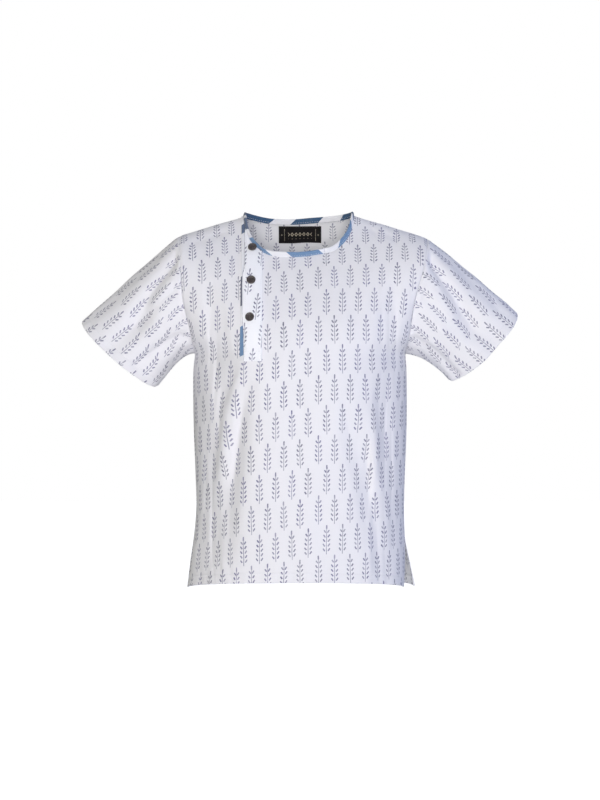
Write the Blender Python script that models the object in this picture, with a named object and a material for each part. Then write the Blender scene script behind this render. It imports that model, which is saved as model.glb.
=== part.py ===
"""Child's short-sleeved kurta tunic of block-printed cotton, filled out as when worn, with nobody in it.

Metres, +Z up. The front faces -Y, and the wearer's right side is at -X.
The origin is midway between the two neck points, where the shoulders hold the kurta up.
"""

from collections import namedtuple
from math import cos, pi, sin

import bmesh
import bpy
import numpy as np

# Walls and gaps.
CLOTH = 0.0015
HEM_CLOTH = 0.0028
BINDING_CLOTH = 0.0026
BAND_CLOTH = 0.0016
LABEL_CLOTH = 0.0010
SEAM_GAP = 0.0003
SEAM_BACK = 0.00022
UNDERARM_GAP = 0.0006

# Cut sizes.
UNDERARM = -0.183
HEM_CORNER = -0.486
FRONT_HEM_RISE = 0.0115
BACK_HEM_RISE = 0.0060
HEM_TURN = 0.013
VENT_ROW = 4
SHOULDER_ROUND = 0.075
BINDING_WIDTH = 0.0064
BINDING_STAND = 0.65
BINDING_START = 0.00024
BINDING_HALVES = (0.28, 0.50, 0.50, 0.30)
BAND_LEFT = -0.0754
BAND_RIGHT = -0.0480
BAND_FOOT = -0.1950
PIPING_WIDTH = 0.0044
LABEL_WIDTH = 0.056
LABEL_HEIGHT = 0.0208
LABEL_TOP = -0.0150
BUTTON_RADIUS = 0.0057
BUTTON_THICK = 0.0026
BUTTON_CLEAR = 0.00048
BUTTONS = ((-0.0611, -0.0499), (-0.0621, -0.0925), (-0.0631, -0.1397))

# A button's section from the middle of its back to the middle of its face, as shares of its radius and thickness.
BUTTON_PROFILE = ((0.0, 0.0), (0.80, 0.0), (0.96, 0.22), (1.0, 0.55), (0.93, 0.92), (0.80, 1.0), (0.66, 0.80),
                  (0.0, 0.70))

# How finely each panel is divided.
SKIRT_ROWS = 18
ARMHOLE_ROWS = 12
SHOULDER_COLUMNS = 10
NECK_COLUMNS = 20
COLUMNS = NECK_COLUMNS + 2 * SHOULDER_COLUMNS
SLEEVE_ROWS = 10
BUTTON_SIDES = 28
FINE = 301

# How full the body's section is: its curve's power, how square it is below the underarms and how much
# less so a little above them, and the curves of the shoulders' roll, the hem and the vents.
SECTION_POWER = 2.4
SECTION_SQUARE = 1.9
SECTION_EASE = 0.75
SECTION_RISE = 0.10
SHOULDER_POWER = 2.2
HEM_POWER = 2.4
VENT_POWER = 1.2

# The body from hem to shoulder: its edges in x, how far its middle stands out in front and behind,
# and how far its edges do so where they are armholes.
Level = namedtuple("Level", "height left right front back armhole_front armhole_back")
LEVELS = (
    Level(-0.486, -0.1450, 0.1415, 0.1000, 0.0880, 0.000, 0.000),
    Level(-0.450, -0.1410, 0.1385, 0.0990, 0.0850, 0.000, 0.000),
    Level(-0.420, -0.1370, 0.1355, 0.0980, 0.0820, 0.000, 0.000),
    Level(-0.385, -0.1340, 0.1345, 0.0975, 0.0790, 0.000, 0.000),
    Level(-0.340, -0.1350, 0.1355, 0.0975, 0.0760, 0.000, 0.000),
    Level(-0.290, -0.1370, 0.1375, 0.0985, 0.0770, 0.000, 0.000),
    Level(-0.240, -0.1380, 0.1380, 0.0995, 0.0810, 0.000, 0.000),
    Level(-0.200, -0.1375, 0.1375, 0.0985, 0.0850, 0.000, 0.000),
    Level(-0.183, -0.1360, 0.1365, 0.0972, 0.0860, 0.000, 0.000),
    Level(-0.168, -0.1385, 0.1390, 0.0955, 0.0860, 0.028, 0.030),
    Level(-0.145, -0.1430, 0.1425, 0.0905, 0.0850, 0.042, 0.045),
    Level(-0.120, -0.1490, 0.1465, 0.0810, 0.0830, 0.050, 0.053),
    Level(-0.090, -0.1520, 0.1545, 0.0660, 0.0770, 0.053, 0.056),
    Level(-0.060, -0.1535, 0.1620, 0.0480, 0.0680, 0.053, 0.056),
    Level(-0.035, -0.1555, 0.1650, 0.0340, 0.0580, 0.050, 0.052),
    Level(0.000, -0.1555, 0.1650, 0.0220, 0.0460, 0.046, 0.048),
)

# The shoulder line's height at a distance from the middle, carried on over the neck opening.
SHOULDER_LINE = ((0.000, 0.0060), (0.050, 0.0010), (0.070, -0.0050), (0.085, -0.0098),
                 (0.105, -0.0155), (0.130, -0.0233), (0.156, -0.0315), (0.170, -0.0370))

# The seam of the neck binding on each panel, as (x, z), from the wearer's right to left. Its ends are
# on the shoulder line.
NECK_FRONT = ((-0.0735, -0.0061), (-0.0700, -0.0250), (-0.0600, -0.0450), (-0.0440, -0.0560),
              (-0.0130, -0.0603), (0.0200, -0.0575), (0.0450, -0.0510), (0.0590, -0.0375),
              (0.0665, -0.0230), (0.0700, -0.0050))
NECK_BACK = ((-0.0735, -0.0061), (-0.0600, -0.0086), (-0.0400, -0.0120), (-0.0100, -0.0128),
             (0.0250, -0.0106), (0.0560, -0.0078), (0.0700, -0.0050))

# How far the edges of each panel part from the side seam's line at the foot of the vents, in x and y.
Vent = namedtuple("Vent", "left right out")
FRONT_VENT = Vent(-0.0005, -0.0075, 0.010)
BACK_VENT = Vent(0.0040, 0.0080, 0.007)

# Creases on the body, each a trough (negative) or ridge between two places (x, z) on one panel. They
# fade out at their ends, at the panels' side edges and near the shoulder line.
CREASE_FADE = 0.25
CREASE_EDGE_POWER = 8
CREASE_SHOULDER = 0.03
Crease = namedtuple("Crease", "panel x0 z0 x1 z1 lift width")
CREASES = (
    Crease("front", -0.0700, -0.232, -0.0985, -0.445, -0.0080, 0.0115),
    Crease("front", -0.0725, -0.200, -0.1045, -0.350, 0.0040, 0.0105),
    Crease("front", -0.1130, -0.330, -0.1280, -0.486, -0.0060, 0.0120),
    Crease("front", -0.1160, -0.105, -0.1000, -0.240, -0.0050, 0.0105),
    Crease("front", 0.0670, -0.275, 0.1030, -0.475, -0.0065, 0.0115),
    Crease("front", 0.1100, -0.215, 0.1150, -0.370, -0.0060, 0.0110),
    Crease("front", 0.0950, -0.270, 0.1080, -0.360, 0.0030, 0.0100),
    Crease("front", 0.1200, -0.100, 0.1180, -0.200, -0.0045, 0.0105),
    Crease("back", -0.0700, -0.230, -0.0880, -0.440, -0.0070, 0.0125),
    Crease("back", 0.0600, -0.210, 0.0820, -0.430, -0.0075, 0.0125),
    Crease("back", -0.1120, -0.190, -0.1060, -0.400, -0.0055, 0.0115),
    Crease("back", 0.1080, -0.240, 0.1160, -0.480, -0.0060, 0.0115),
    Crease("back", -0.0050, -0.300, 0.0080, -0.470, -0.0050, 0.0140),
    Crease("back", -0.1050, -0.100, -0.0500, -0.150, -0.0045, 0.0125),
    Crease("back", 0.1080, -0.095, 0.0520, -0.140, -0.0045, 0.0125),
)

# Sleeves: each cuff is an oval ring through a top and a bottom point, tipped out at its front.
Sleeve = namedtuple("Sleeve", "side top bottom front_out half_depth")
SLEEVES = {
    "sleeve_right": Sleeve(-1, (-0.2820, 0.002, -0.1420), (-0.1860, 0.004, -0.2260), 0.0100, 0.0390),
    "sleeve_left": Sleeve(1, (0.2810, 0.002, -0.1310), (0.1950, 0.008, -0.2180), 0.0130, 0.0390),
}
SLEEVE_TOP_SLOPE = 36
SLEEVE_LOW_SLOPE = 7
SLEEVE_CUFF_SLOPES = (42, 50)
SLEEVE_PULLS = (0.55, 0.95)
SLEEVE_SPREAD = 0.10
CUFF_TURN = 0.89

# Creases on the sleeves, by the angle round the sleeve (0 is the top, 90 the front) and the way along
# it. They start clear of the armhole.
SLEEVE_CREASE_START = 0.15
SleeveCrease = namedtuple("SleeveCrease", "sleeve angle0 along0 angle1 along1 lift width")
SLEEVE_CREASES = (
    SleeveCrease("sleeve_right", 46, 0.05, 62, 0.90, -0.0070, 0.0110),
    SleeveCrease("sleeve_right", 139, 0.02, 112, 0.88, -0.0060, 0.0100),
    SleeveCrease("sleeve_right", 300, 0.08, 272, 0.85, -0.0060, 0.0110),
    SleeveCrease("sleeve_left", 54, 0.05, 82, 0.95, -0.0070, 0.0110),
    SleeveCrease("sleeve_left", 140, 0.05, 122, 0.85, -0.0050, 0.0100),
    SleeveCrease("sleeve_left", 306, 0.10, 276, 0.80, -0.0060, 0.0110),
)


def material(name, colour, roughness):
    """A Principled material of one colour."""
    made = bpy.data.materials.new(name)
    made.use_nodes = True
    shader = made.node_tree.nodes["Principled BSDF"]
    shader.inputs["Base Color"].default_value = (*colour, 1)
    shader.inputs["Roughness"].default_value = roughness
    shader.inputs["Metallic"].default_value = 0
    return made


def smooth(table, at):
    """Reads a table of (place, value) at some places, along a curve with no kinks."""
    places, values = np.array(table, float).T
    slopes = np.gradient(values, places)
    at = np.clip(np.asarray(at, float), places[0], places[-1])
    i = np.clip(np.searchsorted(places, at) - 1, 0, len(places) - 2)
    span = places[i + 1] - places[i]
    t = (at - places[i]) / span
    start = (1 + 2 * t) * (1 - t) ** 2 * values[i] + t * (1 - t) ** 2 * span * slopes[i]
    end = t * t * (3 - 2 * t) * values[i + 1] + t * t * (t - 1) * span * slopes[i + 1]
    return start + end


def level(column, height):
    """One column of the body's levels at some height."""
    return smooth([(row.height, getattr(row, column)) for row in LEVELS], height)


def evenly(points, count):
    """The points of a line, spread again at even distances."""
    points = np.asarray(points, float)
    steps = np.linalg.norm(np.diff(points, axis=0), axis=1)
    along = np.concatenate([[0], np.cumsum(steps)])
    at = np.linspace(0, along[-1], count + 1)
    return np.stack([np.interp(at, along, axis) for axis in points.T], axis=1)


def curve_through(points, count):
    """A smooth curve through a few points, spread evenly."""
    points = np.asarray(points, float)
    knots = np.concatenate([[0], np.cumsum(np.linalg.norm(np.diff(points, axis=0), axis=1))])
    fine = np.linspace(0, knots[-1], FINE)
    return evenly(np.stack([smooth(list(zip(knots, axis)), fine) for axis in points.T], axis=1), count)


def vent_opening(height):
    """0 at the top of the side vents and above it, 1 at the hem."""
    top = HEM_CORNER + VENT_ROW * (UNDERARM - HEM_CORNER) / SKIRT_ROWS
    return np.clip((top - height) / (top - HEM_CORNER), 0, 1) ** VENT_POWER


def edge_x(panel, side, height):
    """Where a panel's edge is, at the side seam, the vent or the armhole."""
    vent = FRONT_VENT if panel == "front" else BACK_VENT
    if side < 0:
        return level("left", height) + vent.left * vent_opening(height)
    return level("right", height) + vent.right * vent_opening(height)


def depth(panel, x, height):
    """How far a panel stands out from the shoulder's plane, at x and a height."""
    vent = FRONT_VENT if panel == "front" else BACK_VENT
    half = np.where(x < 0, -edge_x(panel, -1, height), edge_x(panel, 1, height))
    out = np.clip(np.abs(x) / half, 0, 1)
    edge = level("armhole_" + panel, height) + vent.out * vent_opening(height)
    rise = np.clip((height - UNDERARM) / SECTION_RISE, 0, 1)
    turn = 1 / (SECTION_SQUARE - SECTION_EASE * rise)
    body = edge + (level(panel, height) - edge) * (1 - out ** SECTION_POWER) ** turn
    below = smooth(SHOULDER_LINE, np.abs(x)) - height
    near = np.clip(1 - below / SHOULDER_ROUND, 0, 1)
    return body * np.sqrt(1 - near ** SHOULDER_POWER)


def hem_height(panel, across):
    """The hem's height at a place across a panel, -1 to 1."""
    rise = FRONT_HEM_RISE if panel == "front" else BACK_HEM_RISE
    return HEM_CORNER + rise * (1 - np.abs(across) ** HEM_POWER)


def section_x(panel, across, height):
    """The x of a place across a panel, -1 to 1, measured along the cloth at a height."""
    fine = np.sin(np.linspace(-pi / 2, pi / 2, FINE))
    xs = np.where(fine < 0, -fine * edge_x(panel, -1, height), fine * edge_x(panel, 1, height))
    ys = depth(panel, xs, height)
    along = np.concatenate([[0], np.cumsum(np.hypot(np.diff(xs), np.diff(ys)))])
    middle = np.interp(0, xs, along)
    at = middle + across * np.where(across < 0, middle, along[-1] - middle)
    return np.interp(at, along, xs)


def skirt_heights(panel, across):
    """The heights of a column's points from the hem to the underarm's level, with one at the hem's turn."""
    low = hem_height(panel, across)
    heights = low + (UNDERARM - low) * np.linspace(0, 1, SKIRT_ROWS + 1)
    heights[1] = low + HEM_TURN
    return heights


def armhole(panel, side):
    """A panel's armhole edge as (x, z), from the underarm to the shoulder point, evenly spread."""
    top = shoulder_point(side)[1]
    heights = UNDERARM + (top - UNDERARM) * (1 - np.cos(np.linspace(0, pi / 2, FINE)))
    xs = edge_x(panel, side, heights)
    line = np.stack([xs, depth(panel, xs, heights), heights], axis=1)
    return evenly(line, ARMHOLE_ROWS)[:, [0, 2]]


def shoulder_point(side):
    """The top of an armhole as (x, z): where its edge meets the shoulder line."""
    height = -0.03
    for _ in range(20):
        x = edge_x("front", side, height)
        height = float(smooth(SHOULDER_LINE, abs(x)))
    return np.array([x, height])


def top_edge(panel):
    """A panel's top edge as (x, z): one shoulder seam, the neck, the other shoulder seam."""
    neck = curve_through(NECK_FRONT if panel == "front" else NECK_BACK, NECK_COLUMNS)
    neck[[0, -1], 1] = smooth(SHOULDER_LINE, np.abs(neck[[0, -1], 0]))
    parts = []
    for side, neck_end in ((-1, neck[0]), (1, neck[-1])):
        xs = np.linspace(shoulder_point(side)[0], neck_end[0], FINE)
        heights = smooth(SHOULDER_LINE, np.abs(xs))
        parts.append(evenly(np.stack([xs, heights], axis=1), SHOULDER_COLUMNS))
    return np.concatenate([parts[0][:-1], neck, parts[1][::-1][1:]])


def crease_lift(panel, x, height):
    """How far the creases move a place on a panel outwards."""
    lift = np.zeros_like(x)
    for crease in CREASES:
        if crease.panel != panel:
            continue
        line = np.array([crease.x1 - crease.x0, crease.z1 - crease.z0])
        to = np.stack([x - crease.x0, height - crease.z0], axis=-1)
        along = (to @ line) / (line @ line)
        aside = to - np.clip(along, 0, 1)[..., None] * line
        ends = np.clip(np.minimum(along, 1 - along) / (2 * CREASE_FADE) + 0.5, 0, 1)
        near = np.exp(-(np.linalg.norm(aside, axis=-1) / crease.width) ** 2)
        lift += crease.lift * near * ends
    return lift


def body_points(panel):
    """The middle surface of a panel: rows from hem to top, columns from the wearer's right to left."""
    across = np.linspace(-1, 1, COLUMNS + 1)
    plan = np.zeros((SKIRT_ROWS + ARMHOLE_ROWS + 1, COLUMNS + 1, 2))
    for column, place in enumerate(across):
        for row, height in enumerate(skirt_heights(panel, place)):
            plan[row, column] = section_x(panel, place, height), height
    low = plan[SKIRT_ROWS]
    high = top_edge(panel)
    left = armhole(panel, -1)
    right = armhole(panel, 1)
    s = ((across + 1) / 2)[:, None]
    for row in range(1, ARMHOLE_ROWS + 1):
        t = row / ARMHOLE_ROWS
        corners = (1 - s) * ((1 - t) * low[0] + t * high[0]) + s * ((1 - t) * low[-1] + t * high[-1])
        plan[SKIRT_ROWS + row] = (1 - t) * low + t * high + (1 - s) * left[row] + s * right[row] - corners
    x, height = plan[..., 0], plan[..., 1]
    sign = -1 if panel == "front" else 1
    inside = 1 - np.abs(across) ** CREASE_EDGE_POWER
    inside = inside[None, :] * np.clip((smooth(SHOULDER_LINE, np.abs(x)) - height) / CREASE_SHOULDER, 0, 1)
    y = sign * (depth(panel, x, height) + crease_lift(panel, x, height) * inside)
    return np.stack([x, y, height], axis=-1)


def cuff_ring(sleeve, angles):
    """The sleeve's open end at some angles, 0 at the top and a quarter turn at the front."""
    top, bottom = np.array(sleeve.top), np.array(sleeve.bottom)
    middle, up = (top + bottom) / 2, (top - bottom) / 2
    axis = np.cross(up, (0, 1, 0))
    axis *= sleeve.side * np.sign(axis[0]) / np.linalg.norm(axis)
    front = np.array((0, -sleeve.half_depth, 0)) + axis * sleeve.front_out
    return middle + np.outer(np.cos(angles), up) + np.outer(np.sin(angles), front)


def sleeve_points(name, front, back):
    """The middle surface of a sleeve: rows from armhole to cuff, columns round it from the top by the front."""
    sleeve = SLEEVES[name]
    column = 0 if sleeve.side < 0 else -1
    down = front[SKIRT_ROWS:, column][::-1]
    up = back[SKIRT_ROWS:, column]
    start = np.concatenate([down, up[1:-1]])
    angles = np.arange(2 * ARMHOLE_ROWS) * pi / ARMHOLE_ROWS
    end = cuff_ring(sleeve, angles)
    span = np.linalg.norm(end - start, axis=1)[:, None]
    lowness = ((1 - np.cos(angles)) / 2)[:, None]
    slope = np.radians(SLEEVE_TOP_SLOPE * (1 - lowness) + SLEEVE_LOW_SLOPE * lowness)
    leave = np.hstack([sleeve.side * np.cos(slope), -SLEEVE_SPREAD * np.sin(angles)[:, None], -np.sin(slope)])
    slope = np.radians(SLEEVE_CUFF_SLOPES[0] * (1 - lowness) + SLEEVE_CUFF_SLOPES[1] * lowness)
    arrive = np.hstack([sleeve.side * np.cos(slope), 0 * slope, -np.sin(slope)])
    start_pull = SLEEVE_PULLS[0] * (1 - lowness) + SLEEVE_PULLS[1] * lowness
    rows = []
    for t in along_sleeve():
        h0, h1 = (1 + 2 * t) * (1 - t) ** 2, t * t * (3 - 2 * t)
        g0, g1 = t * (1 - t) ** 2, t * t * (t - 1)
        pull = g0 * leave * start_pull + g1 * arrive * SLEEVE_PULLS[1]
        rows.append(h0 * start + h1 * end + pull * span)
    rows = np.array(rows)
    return rows + sleeve_lift(name, rows, angles)


def along_sleeve():
    """How far along the sleeve its rows are, with the last but one at the hem's turn."""
    places = np.linspace(0, 1, SLEEVE_ROWS + 1)
    places[-2] = CUFF_TURN
    return places


def sleeve_lift(name, rows, angles):
    """How the creases move a sleeve's points."""
    middle = rows.mean(axis=1, keepdims=True)
    outwards = rows - middle
    radius = np.linalg.norm(outwards, axis=2, keepdims=True)
    turn = np.degrees(angles)[None, :]
    along = along_sleeve()[:, None]
    length = np.linalg.norm(rows[-1] - rows[0], axis=1).mean()
    lift = np.zeros(rows.shape[:2])
    for crease in SLEEVE_CREASES:
        if crease.sleeve != name:
            continue
        t = np.clip((along - crease.along0) / (crease.along1 - crease.along0), 0, 1)
        centre = crease.angle0 + t * (crease.angle1 - crease.angle0)
        round_by = ((turn - centre + 180) % 360 - 180) * pi / 180 * radius[..., 0]
        over = (along - crease.along0 - t * (crease.along1 - crease.along0)) * length
        lift += crease.lift * np.exp(-(round_by ** 2 + over ** 2) / crease.width ** 2)
    lift *= np.clip(along / SLEEVE_CREASE_START, 0, 1)
    return outwards / radius * lift[..., None]


def add_normals(totals, points, closed):
    """Adds the normals of a surface's faces to those of its points, keyed by place, so seams share them."""
    rows, columns = points.shape[:2]
    for row in range(rows - 1):
        for column in range(columns if closed else columns - 1):
            after = (column + 1) % columns
            corners = (points[row, column], points[row, after], points[row + 1, after], points[row + 1, column])
            normal = np.cross(corners[2] - corners[0], corners[3] - corners[1])
            for corner in corners:
                key = tuple(np.round(corner, 6))
                totals[key] = totals.get(key, 0) + normal


def normals_at(totals, points):
    """The unit normal at each point of a surface."""
    found = np.array([[totals[tuple(np.round(point, 6))] for point in row] for row in points])
    return found / np.linalg.norm(found, axis=2, keepdims=True)


def pull_back(points, normals, edge, by):
    """Moves one edge of a surface back from its seam, within the surface."""
    at, inner = {"first_row": ((0,), (1,)), "last_row": ((-1,), (-2,)),
                 "first_column": ((slice(None), 0), (slice(None), 1)),
                 "last_column": ((slice(None), -1), (slice(None), -2))}[edge]
    line, normal = points[at], normals[at]
    back = points[inner] - line
    back = back - (back * normal).sum(axis=1, keepdims=True) * normal
    points[at] = line + by[:, None] * back / np.linalg.norm(back, axis=1, keepdims=True)


def new_object(name, vertices, faces, look):
    """An object from points and faces, with its normals outwards."""
    mesh = bpy.data.meshes.new(name)
    mesh.from_pydata([tuple(map(float, v)) for v in vertices], [], faces)
    mesh.materials.append(look)
    for polygon in mesh.polygons:
        polygon.use_smooth = True
    made = bpy.data.objects.new(name, mesh)
    bpy.context.scene.collection.objects.link(made)
    return made


def wall(name, points, normals, inner, outer, closed, look):
    """A closed wall between two distances from a surface, which is a strip or, if closed, a tube."""
    rows, columns = points.shape[:2]
    skins = (points + normals * outer[..., None], points + normals * inner[..., None])
    vertices = np.concatenate([skin.reshape(-1, 3) for skin in skins])
    half = rows * columns
    faces = []
    last = columns if closed else columns - 1

    def at(skin, row, column):
        return skin * half + row * columns + column % columns

    for row in range(rows - 1):
        for column in range(last):
            ring = [(row, column), (row, column + 1), (row + 1, column + 1), (row + 1, column)]
            for half_ring in (ring[:3], [ring[0], ring[2], ring[3]]):
                faces.append([at(0, *corner) for corner in half_ring])
                faces.append([at(1, *corner) for corner in reversed(half_ring)])
    for column in range(last):
        faces.append([at(1, 0, column), at(1, 0, column + 1), at(0, 0, column + 1), at(0, 0, column)])
        top = rows - 1
        faces.append([at(0, top, column), at(0, top, column + 1), at(1, top, column + 1), at(1, top, column)])
    if not closed:
        for row in range(rows - 1):
            faces.append([at(0, row, 0), at(0, row + 1, 0), at(1, row + 1, 0), at(1, row, 0)])
            end = columns - 1
            faces.append([at(1, row, end), at(1, row + 1, end), at(0, row + 1, end), at(0, row, end)])
    return new_object(name, vertices, faces, look)


def thickness(shape, hem_rows):
    """The outer and inner distances of a wall whose hem is turned up inside it."""
    outer = np.full(shape, CLOTH / 2)
    inner = np.full(shape, -CLOTH / 2)
    inner[hem_rows] = CLOTH / 2 - HEM_CLOTH
    return inner, outer


def build_panel(panel, points, totals, look):
    """A front or back, with each seam edge drawn back by half a gap."""
    normals = normals_at(totals, points)
    points = points.copy()
    seam = np.full(len(points), SEAM_BACK)
    seam[:VENT_ROW] = 0
    seam[SKIRT_ROWS + 1:SKIRT_ROWS + 3] = UNDERARM_GAP
    top = np.full(COLUMNS + 1, SEAM_BACK)
    pull_back(points, normals, "first_column", seam)
    pull_back(points, normals, "last_column", seam)
    pull_back(points, normals, "last_row", top)
    inner, outer = thickness(points.shape[:2], slice(0, 2))
    return wall(panel + "_body", points, normals, inner, outer, False, look)


def build_sleeve(name, points, totals, look):
    """A sleeve, drawn back from its armhole by half a gap."""
    normals = normals_at(totals, points)
    points = points.copy()
    seam = np.full(points.shape[1], SEAM_BACK)
    low = np.argmin(points[0, :, 2])
    seam[low - 2:low + 3] = UNDERARM_GAP
    pull_back(points, normals, "first_row", seam)
    inner, outer = thickness(points.shape[:2], slice(-2, None))
    return wall(name, points, normals, inner, outer, True, look)


def build_binding(front, back, totals, look):
    """The strip that binds the neck's edge, from the band's open edge by the back and round to the front."""
    columns = slice(SHOULDER_COLUMNS, SHOULDER_COLUMNS + NECK_COLUMNS + 1)
    front_line, back_line = front[-1, columns], back[-1, columns]
    ring = np.concatenate([back_line, front_line[::-1][1:]])
    below = np.concatenate([back[-2, columns], front[-2, columns][::-1][1:]])
    out = np.array([totals[tuple(np.round(point, 6))] for point in ring])
    out /= np.linalg.norm(out, axis=1)[:, None]
    tangent = np.gradient(ring, axis=0)
    tangent[0] = tangent[-1] = ring[1] - ring[-2]
    tangent /= np.linalg.norm(tangent, axis=1)[:, None]
    onward = np.cross(tangent, out)
    onward *= np.sign(((ring - below) * onward).sum(axis=1))[:, None]
    rise = (1 - BINDING_STAND) * onward + BINDING_STAND * np.array((0, 0, 1))
    rise /= np.linalg.norm(rise, axis=1)[:, None]
    facing = np.cross(tangent, rise)
    facing *= np.sign((facing * out).sum(axis=1))[:, None]
    steps = np.linspace(0, 1, len(BINDING_HALVES))
    first = out + facing
    first /= np.linalg.norm(first, axis=1)[:, None]
    points = np.array([ring + rise * (2 * SEAM_BACK + BINDING_WIDTH * step) for step in steps])
    points[0] = ring + (onward + rise) * BINDING_START
    normals = np.array([first] + [facing] * (len(BINDING_HALVES) - 1))
    along = ring[1] - ring[0]
    points[:, 0] += along / np.linalg.norm(along) * SEAM_GAP
    along = ring[-2] - ring[-1]
    points[:, -1] += along / np.linalg.norm(along) * SEAM_GAP
    half = np.array(BINDING_HALVES) * BINDING_CLOTH
    outer = np.repeat(half[:, None], points.shape[1], axis=1)
    return wall("neck_binding", points[:, ::-1], normals[:, ::-1], -outer, outer, False, look)


def patch(body, facing, x0, x1, z0, z1, cuts):
    """Part of a panel's outer or inner skin, with new edges along some cuts, as points, normals and faces."""
    work = bmesh.new()
    work.from_mesh(body.data)
    half = len(work.verts) // 2
    work.verts.ensure_lookup_table()
    drop = work.verts[half:] if facing == "outer" else work.verts[:half]
    bmesh.ops.delete(work, geom=list(drop), context="VERTS")
    for axis, place in cuts:
        where, normal = [0, 0, 0], [0, 0, 0]
        where[axis], normal[axis] = place, 1
        whole = list(work.verts) + list(work.edges) + list(work.faces)
        bmesh.ops.bisect_plane(work, geom=whole, dist=1e-6, plane_co=where, plane_no=normal)
    work.normal_update()
    points, normals, faces, index = [], [], [], {}
    for face in work.faces:
        centre = face.calc_center_median()
        if not (x0 < centre.x < x1 and z0 < centre.z < z1):
            continue
        for vertex in face.verts:
            if vertex not in index:
                index[vertex] = len(points)
                points.append(tuple(vertex.co))
                normals.append(tuple(vertex.normal))
        faces.append([index[vertex] for vertex in face.verts])
    work.free()
    return np.array(points), np.array(normals), faces


def lie_on(name, body, facing, x0, x1, z0, z1, clear, thick, look):
    """A piece lying on a panel, made from the panel's own points moved out."""
    cuts = ((0, x0), (0, x1), (2, z0), (2, z1))
    points, normals, faces = patch(body, facing, x0, x1, z0, z1, cuts)
    count = len(points)
    vertices = np.concatenate([points + normals * (clear + thick), points + normals * clear])
    solid = [list(face) for face in faces] + [[i + count for i in reversed(face)] for face in faces]
    edges = {}
    for face in faces:
        for a, b in zip(face, face[1:] + face[:1]):
            edges[a, b] = True
    for a, b in edges:
        if (b, a) not in edges:
            solid.append([b, a, a + count, b + count])
    return new_object(name, vertices, solid, look)


def button(name, body, x, z, look):
    """A round button on the band: a dished disc with a raised rim."""
    work = bmesh.new()
    rings = []
    for radius, height in BUTTON_PROFILE:
        if radius == 0:
            rings.append([work.verts.new((0, 0, height * BUTTON_THICK))])
            continue
        ring = []
        for i in range(BUTTON_SIDES):
            turn = 2 * pi * i / BUTTON_SIDES
            reach = radius * BUTTON_RADIUS
            ring.append(work.verts.new((reach * cos(turn), reach * sin(turn), height * BUTTON_THICK)))
        rings.append(ring)
    for lower, upper in zip(rings, rings[1:]):
        for i in range(BUTTON_SIDES):
            j = (i + 1) % BUTTON_SIDES
            if len(lower) == 1:
                work.faces.new((lower[0], upper[j], upper[i]))
            elif len(upper) == 1:
                work.faces.new((lower[i], lower[j], upper[0]))
            else:
                work.faces.new((lower[i], lower[j], upper[j], upper[i]))
    mesh = bpy.data.meshes.new(name)
    work.to_mesh(mesh)
    work.free()
    mesh.materials.append(look)
    for polygon in mesh.polygons:
        polygon.use_smooth = True
    made = bpy.data.objects.new(name, mesh)
    bpy.context.scene.collection.objects.link(made)
    _, place, normal, _ = body.ray_cast((x, -1, z), (0, 1, 0))
    made.location = place + normal * BUTTON_CLEAR
    made.rotation_euler = normal.to_track_quat("Z", "Y").to_euler()
    return made


for leftover in list(bpy.data.objects):
    bpy.data.objects.remove(leftover, do_unlink=True)

cotton = material("printed_cotton", (0.72, 0.72, 0.78), 0.9)
binding_cotton = material("binding_cotton", (0.16, 0.27, 0.42), 0.85)
button_shell = material("button_shell", (0.045, 0.035, 0.032), 0.45)
label_satin = material("label_satin", (0.012, 0.012, 0.014), 0.5)

front_surface = body_points("front")
back_surface = body_points("back")
sleeves = {name: sleeve_points(name, front_surface, back_surface) for name in SLEEVES}

shared = {}
add_normals(shared, front_surface, False)
add_normals(shared, back_surface[:, ::-1], False)
for name, surface in sleeves.items():
    add_normals(shared, surface if SLEEVES[name].side > 0 else surface[:, ::-1], True)

front_body = build_panel("front", front_surface, shared, cotton)
back_body = build_panel("back", back_surface[:, ::-1], shared, cotton)
for name, surface in sleeves.items():
    build_sleeve(name, surface if SLEEVES[name].side > 0 else surface[:, ::-1], shared, cotton)
build_binding(front_surface, back_surface, shared, binding_cotton)

split = BAND_LEFT + PIPING_WIDTH
above_neck = 0.05
band = lie_on("placket", front_body, "outer", split + SEAM_GAP, BAND_RIGHT, BAND_FOOT, above_neck,
              SEAM_GAP, BAND_CLOTH, cotton)
lie_on("placket_piping", front_body, "outer", BAND_LEFT, split, BAND_FOOT, above_neck,
       SEAM_GAP, BAND_CLOTH, binding_cotton)
lie_on("neck_label", back_body, "inner", -LABEL_WIDTH / 2, LABEL_WIDTH / 2, LABEL_TOP - LABEL_HEIGHT, LABEL_TOP,
       SEAM_GAP, LABEL_CLOTH, label_satin)
for number, (x, z) in enumerate(BUTTONS, 1):
    button(f"button_{number}", band, x, z, button_shell)
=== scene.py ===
from collections import namedtuple
from math import cos, pi, sin

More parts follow.
